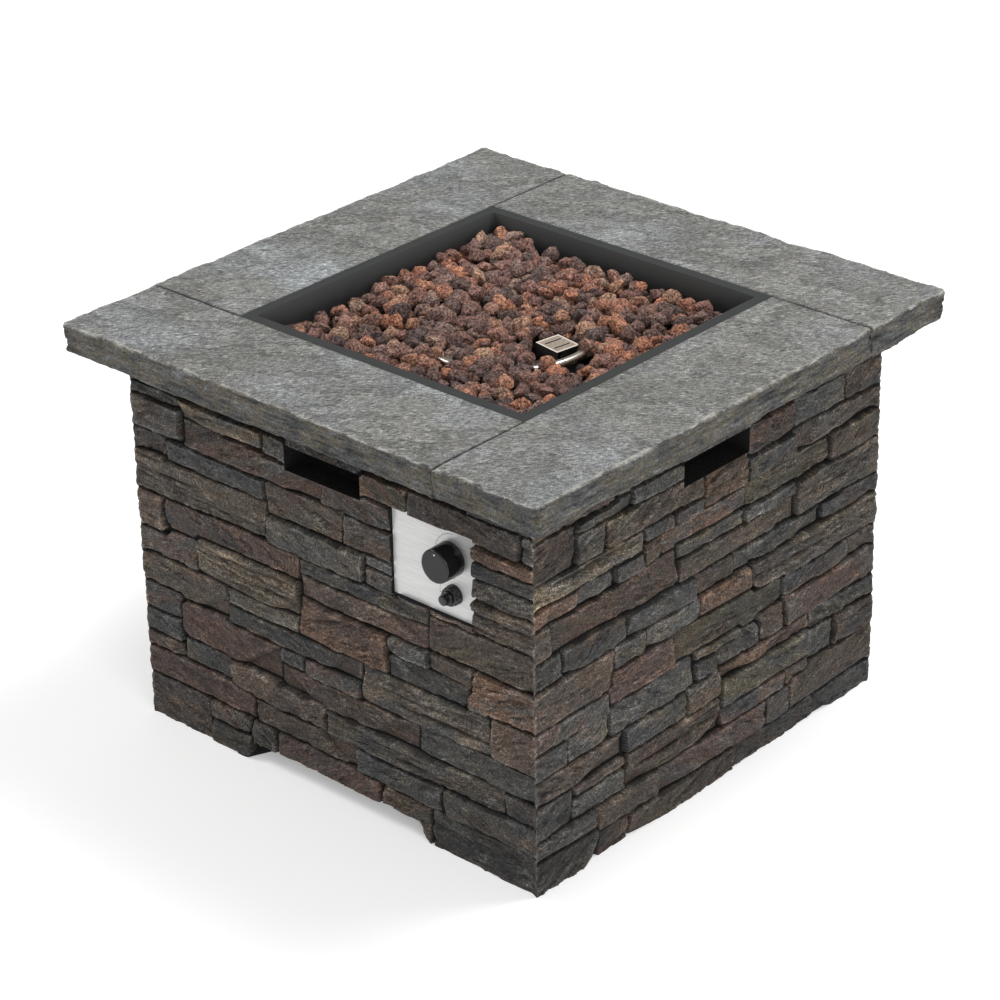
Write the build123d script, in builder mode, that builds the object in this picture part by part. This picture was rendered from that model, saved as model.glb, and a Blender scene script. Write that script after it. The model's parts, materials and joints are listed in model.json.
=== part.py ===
"""Square gas fire pit with stacked-stone walls, a cast-stone top and a bed of lava stones.

Millimetres. The origin is on the ground under the middle, +Z up, and the control panel faces -Y.
The walls and top slabs are numbered in quarter turns: 0 front, 1 right, 2 back, 3 left.
"""
from build123d import *
import os
from math import cos, floor, hypot, pi, radians, sin, tan

os.makedirs("parts", exist_ok=True)

# Driving dimensions of the body
top_width = 813.0
overall_height = 585.0
slab_thick = 43.0
base_width = 696.0
wall_core = 22.0
stone_setback = 12.0
stone_proud = (8.0, 17.0, 11.0, 14.0)
joint_width = 4.0
mitre_gap = 0.3
slab_gap = 1.0
slab_lower_round = 6.0
slab_upper_round = 3.0

# Stone courses from the ground up: height, then the stone lengths from left to right
front_courses = (
    (62, (112, 79, 47, 180, 98, 180)),
    (35, (200, 185, 153, 158)),
    (37, (70, 89, 174, 305, 58)),
    (60, (68, 184, 244, 200)),
    (56, (160, 240, 220, 76)),
    (37, (109, 182, 157, 128, 120)),
    (56, (50, 248, 220, 178)),
    (43, (243, 160, 195, 98)),
    (46, (58, 181, 138, 223, 96)),
    (38, (89, 253, 258, 96)),
    (32, (89, 151, 174, 76, 183, 23)),
    (40, (148, 180, 140, 140, 88)),
)
side_courses = (
    (36, (118, 63, 214, 178, 123)),
    (38, (116, 123, 223, 54, 180)),
    (44, (74, 102, 192, 134, 109, 85)),
    (46, (174, 121, 73, 188, 140)),
    (42, (63, 79, 172, 92, 94, 196)),
    (42, (148, 125, 221, 147, 55)),
    (43, (150, 61, 129, 80, 276)),
    (33, (56, 120, 136, 81, 180, 123)),
    (50, (48, 231, 239, 178)),
    (40, (88, 67, 55, 68, 130, 112, 176)),
    (38, (210, 56, 147, 175, 108)),
    (45, (78, 58, 212, 164, 112, 72)),
    (45, (198, 180, 160, 158)),
)

# Openings in the walls
slot_width = 131.0
slot_height = 35.0
slot_drop = 64.5
slot_corner = 2.0
arch_width = 322.0
arch_rise = 28.0
arch_slant = 14.0
panel_width = 137.0
panel_height = 121.0
panel_drop = 134.5
panel_corner_gap = 154.5
panel_recess = 7.0

# Burner pan and burner
opening_width = 488.0
ledge_width = 12.0
flange_gap = 0.5
flange_drop = 1.0
pan_sheet = 2.0
pan_side_gap = 2.0
pan_depth = 75.0
pan_corner = 3.0
ring_radius = 115.0
ring_tube = 6.5
cross_tube = 5.5
ring_stand = 27.0
port_count = 24
port_radius = 1.2
hub_radius = 15.0
hub_drop = 8.0
support_length = 16.0
support_width = 10.0
seat_gap = 0.2
mixer_radius = 11.0
mixer_wall = 2.5
mixer_drop = 70.0
mixer_end = 4.0
mixer_collar = 4.0
air_hole_radius = 4.0
air_hole_rise = 16.0

# Ignition point in the pan
hood_x = 77.4
hood_y = 10.0
hood_turn = -9.0
hood_length = 42.6
hood_width = 37.8
hood_height = 40.0
hood_sheet = 1.2
hood_foot = 10.0
hood_slot_length = 26.0
hood_slot_width = 2.5
hood_slot_spread = 18.0
probe_spread = 18.0
probe_height = 25.0
electrode_radius = 1.25
ceramic_radius = 4.0
ceramic_rise = 12.0
probe_radius = 2.5
probe_below = 11.0
collar_extra = 2.0
collar_thick = 2.0

# Control panel, cock and igniter
plate_thick = 1.5
plate_clear = 0.5
box_clear = 2.0
box_sheet = 1.5
box_flange = 14.0
box_lip = 9.0
stud_radius = 1.5
stud_length = 6.0
control_shift = 33.0
knob_rise = 23.5
igniter_drop = 28.0
valve_radius = 15.0
valve_length = 51.5
valve_front_wall = 12.0
valve_bore = 8.0
nose_radius = 6.0
nose_length = 4.0
plug_length = 20.0
plug_rear_gap = 5.0
plug_port = 3.0
port_reach = 24.0
port_boss = 8.0
port_inset = 12.0
magnet_radius = 7.0
magnet_rise = 20.0
magnet_rear_inset = 2.0
magnet_length = 38.0
spindle_radius = 4.0
spindle_collar = 7.0
spindle_collar_thick = 3.0
spindle_tang = 5.0
tang_engagement = 10.0
spindle_reach = 28.0
knob_radius = 23.0
knob_face = 34.5
knob_rear = 5.0
knob_skirt = 4.0
knob_recess = 14.0
knob_boss = 7.5
knob_boss_rear = 10.0
knob_chamfer = 1.2
pointer_radius = 1.3
pointer_depth = 0.4
pointer_offset = 16.0
igniter_barrel = 10.0
igniter_bore = 7.6
igniter_length = 62.0
igniter_end_wall = 3.0
igniter_flange = 13.4
igniter_flange_thick = 2.0
igniter_neck = 10.2
igniter_neck_end = 5.0
terminal_radius = 2.0
terminal_length = 4.0
cap_front = 11.3
cap_front_wall = 1.3
cap_flats = 12
button_radius = 8.8
button_face = 23.0
button_lip = 1.2
button_lip_thick = 1.5
button_recess = 5.6
button_recess_depth = 8.0
battery_radius = 7.25
battery_length = 50.5
battery_nub = 2.75
battery_nub_length = 1.5
spring_wire = 0.5
spindle_spring_radius = 5.2
spindle_spring_turns = 4
igniter_spring_radius = 4.6
igniter_spring_turns = 6

# Gas way and leads
hex_flats = 17.0
nut_thick = 6.0
lock_nut_flats = 30.0
igniter_nut_flats = 27.0
valve_nut_thick = 3.0
tube_radius = 5.0
tube_wall = 1.5
orifice_hex_height = 12.0
orifice_spigot = 5.0
orifice_spigot_height = 8.0
jet_radius = 0.8
inlet_hex_length = 10.0
inlet_nipple_radius = 6.0
inlet_nipple_length = 12.0
elbow_width = 17.0
lead_radius = 1.5

# Angles, cleats and screws inside the body
bracket_leg = 40.0
bracket_sheet = 3.0
bracket_low = 50.0
bracket_high = 460.0
bracket_screw_inset = 22.0
bracket_screw_end = 40.0
cleat_leg = 25.0
cleat_sheet = 3.0
cleat_length = 60.0
cleat_spread = 300.0
cleat_screw_inset = 15.0
screw_radius = 2.0
screw_length = 17.0
screw_head_radius = 4.0
screw_head_height = 2.5
screw_clear = 0.1

# Lava stones
rock_rows = 12
rock_gap = 0.25
rock_sides = 7
rock_profile = ((0.0, 0.55), (0.3, 1.0), (0.68, 0.92), (1.0, 0.45))
rock_bed_height = 43.0
rock_height_spread = 12.0

# Running and assembly clearances
run_clear = 0.05
press_clear = 0.1
move_clear = 0.3

# Places worked out from the driving dimensions
wall_height = overall_height - slab_thick
core_out = base_width / 2 - stone_setback
core_in = core_out - wall_core
stone_reach = core_out + max(stone_proud)
opening_half = opening_width / 2
ledge_in = opening_half - ledge_width
flange_half = opening_half - flange_gap
pan_out = ledge_in - pan_side_gap
pan_in = pan_out - pan_sheet
flange_top = overall_height - flange_drop
flange_low = flange_top - pan_sheet
pan_floor = overall_height - pan_depth
pan_under = pan_floor - pan_sheet
ring_z = pan_floor + ring_stand + ring_tube
hub_low = ring_z - ring_tube - hub_drop
mixer_low = pan_under - mixer_drop
slot_z = wall_height - slot_drop
panel_x = core_out - panel_corner_gap
panel_z = wall_height - panel_drop
panel_face = base_width / 2 - panel_recess
plate_back = panel_face - plate_thick
control_x = panel_x + control_shift
knob_z = panel_z + knob_rise
igniter_z = panel_z - igniter_drop
valve_rear = plate_back - valve_length
port_offset = valve_rear + port_inset
plug_rear = valve_rear + plug_rear_gap
plug_front = plug_rear + plug_length
bore_front = plate_back - valve_front_wall
collar_front = bore_front - move_clear
collar_back = collar_front - spindle_collar_thick
orifice_low = mixer_low - orifice_hex_height
hood_plane = Plane(
    origin=(hood_x, hood_y, pan_floor),
    x_dir=(cos(radians(hood_turn)), sin(radians(hood_turn)), 0),
    z_dir=(0, 0, 1),
)
electrode_spot = hood_plane.from_local_coords(Vector(-probe_spread / 2, 0, 0))
probe_spot = hood_plane.from_local_coords(Vector(probe_spread / 2, 0, 0))
box_width = panel_width - 2 * box_clear
box_height = panel_height - 2 * box_clear
stud_x = box_width / 2 - box_sheet - box_lip / 2
stud_z = box_height / 2 - box_sheet - box_lip / 2
flange_screw_x = panel_width / 2 + box_flange / 2
flange_screw_z = panel_height / 2 + box_flange / 2


def wall_plane(quarter, offset):
    """Upright plane of a wall at a distance from the middle: X along it, Y up, Z outwards."""
    turn = quarter * pi / 2
    return Plane(
        origin=(sin(turn) * offset, -cos(turn) * offset, 0),
        x_dir=(cos(turn), sin(turn), 0),
        z_dir=(sin(turn), -cos(turn), 0),
    )


def ground_plane(quarter, height):
    """Level plane at a height, turned so that its -Y side is the wall of that quarter."""
    turn = quarter * pi / 2
    return Plane(origin=(0, 0, height), x_dir=(cos(turn), sin(turn), 0), z_dir=(0, 0, 1))


def save(builder, label):
    """Labels a finished piece and writes its file."""
    builder.part.label = label
    export_step(builder.part, f"parts/{label}.step")


def disc(plane, spots, radius, length, mode=Mode.ADD):
    """Round bar or hole on each spot of a plane, along its normal."""
    with BuildSketch(plane) as face:
        with Locations(*spots):
            Circle(radius)
    extrude(face.sketch, amount=length, mode=mode)


def hexagon(plane, spot, flats, length):
    """Hexagon bar on a spot of a plane, along its normal."""
    with BuildSketch(plane) as face:
        with Locations(spot):
            RegularPolygon(flats / 2, 6, major_radius=False)
    extrude(face.sketch, amount=length)


def block(plane, spot, width, height, length, mode=Mode.ADD):
    """Rectangular bar or hole on a spot of a plane, along its normal."""
    with BuildSketch(plane) as face:
        with Locations(spot):
            Rectangle(width, height)
    extrude(face.sketch, amount=length, mode=mode)


# Screw places on the inner face of each wall
bracket_screw_x = core_in - bracket_screw_inset
bracket_spots = [
    (side * bracket_screw_x, height)
    for side in (-1, 1)
    for height in (bracket_low + bracket_screw_end, bracket_high - bracket_screw_end)
]
cleat_wall_spots = [(side * cleat_spread / 2, wall_height - cleat_screw_inset) for side in (-1, 1)]
cleat_slab_spots = [(side * cleat_spread / 2, cleat_screw_inset - core_in) for side in (-1, 1)]
box_spots = [
    (panel_x + across * flange_screw_x, panel_z + up * flange_screw_z) for across in (-1, 1) for up in (-1, 1)
]


# Walls: a cast backing with ledge stones standing proud of it, mitred at the corners
def stones(courses):
    """Each stone's middle, width, height and proud class on a wall face."""
    course_scale = wall_height / sum(height for height, lengths in courses)
    low = 0
    for row, (height, lengths) in enumerate(courses):
        high = low + height * course_scale
        length_scale = 2 * stone_reach / sum(lengths)
        left = -stone_reach
        for column, length in enumerate(lengths):
            right = left + length * length_scale
            middle = ((left + right) / 2, (low + high) / 2)
            proud_class = (3 * row + 2 * column + column // 2) % len(stone_proud)
            yield middle, right - left - joint_width, high - low - joint_width, proud_class
            left = right
        low = high


def wall(quarter, courses, has_panel):
    """One wall panel, with its vent slot and, in front, the panel cut-out and the arch below."""
    with BuildPart() as panel:
        block(wall_plane(quarter, core_in), (0, wall_height / 2), 2 * stone_reach, wall_height, wall_core)
        for proud_class, proud in enumerate(stone_proud):
            with BuildSketch(wall_plane(quarter, core_out)):
                for middle, width, height, stone_class in stones(courses):
                    if stone_class == proud_class:
                        with Locations(middle):
                            Rectangle(width, height)
            extrude(amount=proud)
        with BuildSketch(ground_plane(quarter, 0)):
            Polygon(
                (mitre_gap - core_in, -core_in),
                (core_in - mitre_gap, -core_in),
                (stone_reach - mitre_gap, -stone_reach),
                (mitre_gap - stone_reach, -stone_reach),
            )
        extrude(amount=wall_height, mode=Mode.INTERSECT)
        with BuildSketch(wall_plane(quarter, core_in)):
            with Locations((0, slot_z)):
                RectangleRounded(slot_width, slot_height, slot_corner)
            if has_panel:
                with Locations((panel_x, panel_z)):
                    Rectangle(panel_width, panel_height)
                Polygon(
                    (-arch_width / 2, 0),
                    (arch_width / 2, 0),
                    (arch_width / 2 - arch_slant, arch_rise),
                    (arch_slant - arch_width / 2, arch_rise),
                )
        extrude(amount=stone_reach - core_in, mode=Mode.SUBTRACT)
        screw_spots = bracket_spots + cleat_wall_spots + (box_spots if has_panel else [])
        disc(wall_plane(quarter, core_in), screw_spots, screw_radius + screw_clear, screw_length, Mode.SUBTRACT)
    return panel


for quarter, name in enumerate(("front", "right", "back", "left")):
    courses = front_courses if quarter == 0 else side_courses
    save(wall(quarter, courses, quarter == 0), f"{name}_wall")


# Top: four slabs laid pinwheel fashion, each with a ledge that carries the pan's flange
def slab(quarter):
    """One top slab, its outer edges rounded, with the pilot holes of its cleats."""
    level = ground_plane(quarter, wall_height)
    outer = -top_width / 2
    with BuildPart() as top:
        with BuildSketch(level):
            Polygon(
                (outer, outer),
                (opening_half - slab_gap, outer),
                (opening_half - slab_gap, -opening_half),
                (outer, -opening_half),
            )
        extrude(amount=slab_thick)
        ledge_right = ledge_in - slab_gap
        ledge_left = slab_gap - opening_half
        with BuildSketch(level):
            Polygon(
                (ledge_left, -opening_half),
                (ledge_right, -opening_half),
                (ledge_right, -ledge_in),
                (ledge_left, -ledge_in),
            )
        extrude(amount=flange_low - wall_height)
        rounded = {slab_lower_round: 0, slab_upper_round: slab_thick}
        for radius, height in rounded.items():
            rim = []
            for edge in top.edges():
                middle = level.to_local_coords(edge.center())
                on_rim = min(abs(middle.X - outer), abs(middle.Y - outer)) < joint_width / 100
                if on_rim and abs(middle.Z - height) < joint_width / 100:
                    rim.append(edge)
            fillet(rim, radius)
        disc(level, cleat_slab_spots, screw_radius + screw_clear, screw_length, Mode.SUBTRACT)
    return top


for quarter, name in enumerate(("front", "right", "back", "left")):
    save(slab(quarter), f"top_slab_{name}")

# Angles in the corners of the body
with BuildPart() as corner_brackets:
    for quarter in range(4):
        far = core_in
        near = core_in - bracket_leg
        inner = core_in - bracket_sheet
        with BuildSketch(ground_plane(quarter, bracket_low)):
            Polygon((far, -far), (far, -near), (inner, -near), (inner, -inner), (near, -inner), (near, -far))
        extrude(amount=bracket_high - bracket_low)
    for quarter in range(4):
        plane = wall_plane(quarter, core_in - bracket_sheet)
        disc(plane, bracket_spots, screw_radius + screw_clear, bracket_sheet, Mode.SUBTRACT)
save(corner_brackets, "corner_brackets")


def screws(plane, spots):
    """Pan-head screws that sit on a plane and run along its normal."""
    disc(plane, spots, screw_radius, screw_length)
    disc(plane, spots, screw_head_radius, -screw_head_height)


with BuildPart() as bracket_screws:
    for quarter in range(4):
        screws(wall_plane(quarter, core_in - bracket_sheet), bracket_spots)
save(bracket_screws, "bracket_screws")

# Cleats that tie the slabs to the walls
with BuildPart() as slab_cleats:
    for quarter in range(4):
        for spot_x, spot_z in cleat_wall_spots:
            upright = wall_plane(quarter, core_in - cleat_sheet)
            block(upright, (spot_x, wall_height - cleat_leg / 2), cleat_length, cleat_leg, cleat_sheet)
            level = wall_plane(quarter, core_in - cleat_leg)
            block(level, (spot_x, wall_height - cleat_sheet / 2), cleat_length, cleat_sheet, cleat_leg)
        upright = wall_plane(quarter, core_in - cleat_sheet)
        disc(upright, cleat_wall_spots, screw_radius + screw_clear, cleat_sheet, Mode.SUBTRACT)
        level = ground_plane(quarter, wall_height - cleat_sheet)
        disc(level, cleat_slab_spots, screw_radius + screw_clear, cleat_sheet, Mode.SUBTRACT)
save(slab_cleats, "slab_cleats")

with BuildPart() as cleat_screws:
    for quarter in range(4):
        screws(wall_plane(quarter, core_in - cleat_sheet), cleat_wall_spots)
        screws(ground_plane(quarter, wall_height - cleat_sheet), cleat_slab_spots)
save(cleat_screws, "cleat_screws")

# Burner pan, hung by its flange in the ledge of the slabs
hood_foot_y = hood_width / 2 + hood_foot / 2
hood_screw_spots = [(0, side * hood_foot_y) for side in (-1, 1)]
with BuildPart() as burner_pan:
    with BuildSketch(Plane.XY.offset(pan_under)):
        RectangleRounded(2 * pan_out, 2 * pan_out, pan_corner + pan_sheet)
    extrude(amount=flange_top - pan_under)
    with BuildSketch(Plane.XY.offset(flange_low)):
        Rectangle(2 * flange_half, 2 * flange_half)
    extrude(amount=pan_sheet)
    with BuildSketch(Plane.XY.offset(pan_floor)):
        RectangleRounded(2 * pan_in, 2 * pan_in, pan_corner)
    extrude(amount=pan_depth, mode=Mode.SUBTRACT)
    under = Plane.XY.offset(pan_under)
    disc(under, [(0, 0)], mixer_radius + press_clear, pan_sheet, Mode.SUBTRACT)
    disc(under, [(electrode_spot.X, electrode_spot.Y)], ceramic_radius + press_clear, pan_sheet, Mode.SUBTRACT)
    disc(under, [(probe_spot.X, probe_spot.Y)], probe_radius + press_clear, pan_sheet, Mode.SUBTRACT)
    hood_under = hood_plane.offset(-pan_sheet)
    disc(hood_under, hood_screw_spots, screw_radius + screw_clear, pan_sheet, Mode.SUBTRACT)
save(burner_pan, "burner_pan")

# Ring burner: a ring with a cross bar, a hub in the middle and blind ports along its top
with BuildPart() as ring_burner:
    with Locations((0, 0, ring_z)):
        Torus(ring_radius, ring_tube)
        Cylinder(cross_tube, 2 * ring_radius, rotation=(90, 0, 0))
    disc(Plane.XY.offset(hub_low), [(0, 0)], hub_radius, ring_z + ring_tube - hub_low)
    disc(Plane.XY.offset(hub_low), [(0, 0)], mixer_radius - mixer_wall, ring_z - hub_low, Mode.SUBTRACT)
    with BuildSketch(Plane.XY.offset(ring_z)):
        with PolarLocations(ring_radius, port_count, start_angle=180 / port_count):
            Circle(port_radius)
    extrude(amount=2 * ring_tube, mode=Mode.SUBTRACT)
save(ring_burner, "ring_burner")

with BuildPart() as burner_supports:
    with BuildSketch(Plane.XY.offset(pan_floor)):
        with PolarLocations(ring_radius, 4, start_angle=45):
            Rectangle(support_length, support_width)
    extrude(amount=ring_stand + ring_tube / 2)
    with Locations((0, 0, ring_z)):
        Torus(ring_radius, ring_tube + seat_gap, mode=Mode.SUBTRACT)
save(burner_supports, "burner_supports")

# Air mixer through the pan floor, its lock nut and the gas orifice below
with BuildPart() as air_mixer:
    disc(Plane.XY.offset(mixer_low), [(0, 0)], mixer_radius, hub_low - mixer_low)
    disc(Plane.XY.offset(pan_floor), [(0, 0)], hub_radius, mixer_collar)
    bore = mixer_radius - mixer_wall
    disc(Plane.XY.offset(mixer_low + mixer_end), [(0, 0)], bore, hub_low - mixer_low, Mode.SUBTRACT)
    disc(Plane.XY.offset(mixer_low), [(0, 0)], orifice_spigot + press_clear, mixer_end, Mode.SUBTRACT)
    for quarter in range(4):
        plane = wall_plane(quarter, 0)
        disc(plane, [(0, mixer_low + air_hole_rise)], air_hole_radius, 2 * mixer_radius, Mode.SUBTRACT)
save(air_mixer, "air_mixer")

with BuildPart() as mixer_nut:
    hexagon(Plane.XY.offset(pan_under), (0, 0), lock_nut_flats, -nut_thick)
    disc(Plane.XY.offset(pan_under), [(0, 0)], mixer_radius + press_clear, -nut_thick, Mode.SUBTRACT)
save(mixer_nut, "mixer_nut")

with BuildPart() as gas_orifice:
    hexagon(Plane.XY.offset(orifice_low), (0, 0), hex_flats, orifice_hex_height)
    disc(Plane.XY.offset(mixer_low), [(0, 0)], orifice_spigot, orifice_spigot_height)
    jet_height = orifice_hex_height + orifice_spigot_height
    disc(Plane.XY.offset(orifice_low), [(0, 0)], jet_radius, jet_height, Mode.SUBTRACT)
    feed_depth = orifice_hex_height / 2
    disc(Plane.XY.offset(orifice_low), [(0, 0)], tube_radius - tube_wall, feed_depth, Mode.SUBTRACT)
save(gas_orifice, "gas_orifice")

# Ignition point: slotted hood, its screws, the spark electrode and the thermocouple
with BuildPart() as igniter_hood:
    roof = hood_plane.offset(hood_height - hood_sheet)
    block(roof, (0, 0), hood_length, hood_width, hood_sheet)
    for side in (-1, 1):
        leg_y = side * (hood_width - hood_sheet) / 2
        block(hood_plane, (0, leg_y), hood_length, hood_sheet, hood_height)
        block(hood_plane, (0, side * hood_foot_y), hood_length, hood_foot, hood_sheet)
        block(roof, (side * hood_slot_spread / 2, 0), hood_slot_width, hood_slot_length, hood_sheet, Mode.SUBTRACT)
    disc(hood_plane, hood_screw_spots, screw_radius + screw_clear, hood_sheet, Mode.SUBTRACT)
save(igniter_hood, "igniter_hood")

with BuildPart() as hood_screws:
    foot_top = hood_plane.offset(hood_sheet)
    disc(foot_top, hood_screw_spots, screw_radius, -screw_length / 2)
    disc(foot_top, hood_screw_spots, screw_head_radius, screw_head_height)
save(hood_screws, "hood_screws")

with BuildPart() as spark_electrode:
    spot = [(electrode_spot.X, electrode_spot.Y)]
    disc(Plane.XY.offset(pan_floor - probe_below), spot, electrode_radius, probe_below + probe_height)
    disc(Plane.XY.offset(pan_under - pan_sheet), spot, ceramic_radius, 2 * pan_sheet + ceramic_rise)
    disc(Plane.XY.offset(pan_floor), spot, ceramic_radius + collar_extra, collar_thick)
save(spark_electrode, "spark_electrode")

with BuildPart() as thermocouple:
    spot = [(probe_spot.X, probe_spot.Y)]
    disc(Plane.XY.offset(pan_floor - probe_below), spot, probe_radius, probe_below + probe_height)
    disc(Plane.XY.offset(pan_floor), spot, probe_radius + collar_extra, collar_thick)
save(thermocouple, "thermocouple")

# Control plate on its box frame in the wall's cut-out
plate_plane = wall_plane(0, plate_back)
stud_spots = [(panel_x + across * stud_x, panel_z + up * stud_z) for across in (-1, 1) for up in (-1, 1)]
with BuildPart() as control_panel:
    plate_width = panel_width - 2 * plate_clear
    plate_height = panel_height - 2 * plate_clear
    block(plate_plane, (panel_x, panel_z), plate_width, plate_height, plate_thick)
    disc(plate_plane, [(control_x, knob_z)], nose_radius + press_clear, plate_thick, Mode.SUBTRACT)
    disc(plate_plane, [(control_x, igniter_z)], igniter_barrel + press_clear, plate_thick, Mode.SUBTRACT)
    disc(plate_plane, stud_spots, stud_radius, -stud_length)
save(control_panel, "control_panel")

with BuildPart() as control_box:
    frame_rear = wall_plane(0, core_in - box_sheet)
    block(frame_rear, (panel_x, panel_z), box_width, box_height, plate_back - core_in + box_sheet)
    flange_width = panel_width + 2 * box_flange
    flange_height = panel_height + 2 * box_flange
    block(frame_rear, (panel_x, panel_z), flange_width, flange_height, box_sheet)
    inner_width = box_width - 2 * box_sheet
    inner_height = box_height - 2 * box_sheet
    inner_depth = plate_back - core_in
    block(frame_rear, (panel_x, panel_z), inner_width, inner_height, inner_depth, Mode.SUBTRACT)
    lip_width = inner_width - 2 * box_lip
    lip_height = inner_height - 2 * box_lip
    block(plate_plane, (panel_x, panel_z), lip_width, lip_height, -box_sheet, Mode.SUBTRACT)
    disc(plate_plane, stud_spots, stud_radius + press_clear, -box_sheet, Mode.SUBTRACT)
    disc(frame_rear, box_spots, screw_radius + screw_clear, box_sheet, Mode.SUBTRACT)
save(control_box, "control_box")

with BuildPart() as box_screws:
    screws(frame_rear, box_spots)
save(box_screws, "box_screws")

with BuildPart() as panel_nuts:
    nut_plane = wall_plane(0, plate_back - box_sheet)
    stud_nut = stud_length - box_sheet - stud_radius
    for spot in stud_spots:
        hexagon(nut_plane, spot, 4 * stud_radius, -stud_nut)
    disc(nut_plane, stud_spots, stud_radius + press_clear, -stud_nut, Mode.SUBTRACT)
save(panel_nuts, "panel_nuts")

# Cock behind the plate: body, plug, end cap, spindle, its spring and the nut on the nose
knob_spot = (control_x, knob_z)
port_left = Plane(origin=(control_x, -port_offset, knob_z), x_dir=(0, 1, 0), z_dir=(-1, 0, 0))
port_right = Plane(origin=(control_x, -port_offset, knob_z), x_dir=(0, 1, 0), z_dir=(1, 0, 0))
with BuildPart() as valve_body:
    disc(wall_plane(0, valve_rear), [knob_spot], valve_radius, valve_length)
    disc(plate_plane, [knob_spot], nose_radius, plate_thick + nose_length)
    for plane in (port_left, port_right):
        disc(plane, [(0, 0)], port_boss, port_reach)
    magnet_plane = wall_plane(0, valve_rear + magnet_rear_inset)
    disc(magnet_plane, [(control_x, knob_z + magnet_rise)], magnet_radius, magnet_length)
    disc(wall_plane(0, valve_rear), [knob_spot], valve_bore, bore_front - valve_rear, Mode.SUBTRACT)
    nose_run = panel_face + nose_length - bore_front
    disc(wall_plane(0, bore_front), [knob_spot], spindle_radius + run_clear, nose_run, Mode.SUBTRACT)
    for plane in (port_left, port_right):
        disc(plane, [(0, 0)], plug_port, port_reach, Mode.SUBTRACT)
save(valve_body, "valve_body")

with BuildPart() as valve_plug:
    plug_plane = wall_plane(0, plug_rear)
    disc(plug_plane, [knob_spot], valve_bore - run_clear, plug_length)
    tang_slot = spindle_tang + 2 * run_clear
    block(plug_plane, knob_spot, tang_slot, tang_slot, plug_length, Mode.SUBTRACT)
    with Locations(Location((control_x, -port_offset, knob_z))):
        Cylinder(plug_port, 2 * valve_bore, mode=Mode.SUBTRACT)
save(valve_plug, "valve_plug")

with BuildPart() as valve_end_cap:
    cap_depth = plug_rear_gap - move_clear
    disc(wall_plane(0, valve_rear), [knob_spot], valve_bore - press_clear, cap_depth)
    hexagon(wall_plane(0, valve_rear), knob_spot, hex_flats, -nut_thick)
save(valve_end_cap, "valve_end_cap")

with BuildPart() as valve_spindle:
    tang_rear = plug_front - tang_engagement
    block(wall_plane(0, tang_rear), knob_spot, spindle_tang, spindle_tang, collar_back - tang_rear)
    disc(wall_plane(0, collar_back), [knob_spot], spindle_collar, spindle_collar_thick)
    spindle_run = panel_face + spindle_reach - collar_back
    disc(wall_plane(0, collar_back), [knob_spot], spindle_radius, spindle_run)
save(valve_spindle, "valve_spindle")


def coil_spring(spot, rear, front, radius, turns):
    """Round-wire spring between two distances from the middle, wound in half-turn arcs."""
    pitch = (front - rear - 2 * spring_wire) / turns

    def point(angle):
        along = rear + spring_wire + pitch * angle / (2 * pi)
        return (spot[0] + radius * cos(angle), -along, spot[1] + radius * sin(angle))

    print(f"spring wire gap {pitch - 2 * spring_wire:.2f} mm")
    with BuildPart() as spring:
        with BuildLine() as winding:
            for half in range(2 * turns):
                ThreePointArc(point(half * pi), point((half + 0.5) * pi), point((half + 1) * pi))
        with BuildSketch(Plane(origin=winding.line @ 0, z_dir=winding.line % 0)):
            Circle(spring_wire)
        sweep()
    return spring


spindle_spring = coil_spring(
    knob_spot, plug_front + seat_gap, collar_back - seat_gap, spindle_spring_radius, spindle_spring_turns
)
save(spindle_spring, "spindle_spring")

with BuildPart() as valve_nut:
    hexagon(wall_plane(0, panel_face), knob_spot, hex_flats, valve_nut_thick)
    disc(wall_plane(0, panel_face), [knob_spot], nose_radius + press_clear, valve_nut_thick, Mode.SUBTRACT)
save(valve_nut, "valve_nut")

# Knob, hollow behind, pressed on the spindle
with BuildPart() as control_knob:
    knob_plane = wall_plane(0, panel_face + knob_rear)
    disc(knob_plane, [knob_spot], knob_radius, knob_face - knob_rear)
    chamfer(control_knob.faces().sort_by(Axis.Y)[0].edges(), knob_chamfer)
    disc(knob_plane, [knob_spot], knob_radius - knob_skirt, knob_recess, Mode.SUBTRACT)
    boss_plane = wall_plane(0, panel_face + knob_boss_rear)
    disc(boss_plane, [knob_spot], knob_boss, knob_rear + knob_recess - knob_boss_rear)
    knob_bore = spindle_reach - knob_boss_rear + press_clear
    disc(boss_plane, [knob_spot], spindle_radius + run_clear, knob_bore, Mode.SUBTRACT)
    pointer_spot = [(control_x, knob_z + pointer_offset)]
    disc(wall_plane(0, panel_face + knob_face), pointer_spot, pointer_radius, -pointer_depth, Mode.SUBTRACT)
save(control_knob, "control_knob")

# Gas inlet elbow, outlet nut and the tube from the cock to the orifice
with BuildPart() as inlet_fitting:
    inlet_plane = port_right.offset(port_reach)
    hexagon(inlet_plane, (0, 0), hex_flats, inlet_hex_length)
    block(inlet_plane.offset(inlet_hex_length), (0, 0), elbow_width, elbow_width, elbow_width)
    elbow_x = control_x + port_reach + inlet_hex_length + elbow_width / 2
    elbow_plane = Plane(origin=(elbow_x, -port_offset, knob_z), z_dir=(0, 0, -1))
    nipple_end = elbow_width / 2 + inlet_nipple_length
    disc(elbow_plane, [(0, 0)], inlet_nipple_radius, nipple_end)
    disc(inlet_plane, [(0, 0)], plug_port, inlet_hex_length + elbow_width / 2, Mode.SUBTRACT)
    disc(elbow_plane, [(0, 0)], plug_port, nipple_end, Mode.SUBTRACT)
save(inlet_fitting, "inlet_fitting")

with BuildPart() as outlet_nut:
    outlet_plane = port_left.offset(port_reach)
    hexagon(outlet_plane, (0, 0), hex_flats, 2 * nut_thick)
    disc(outlet_plane, [(0, 0)], tube_radius + press_clear, 2 * nut_thick, Mode.SUBTRACT)
save(outlet_nut, "outlet_nut")


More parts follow.
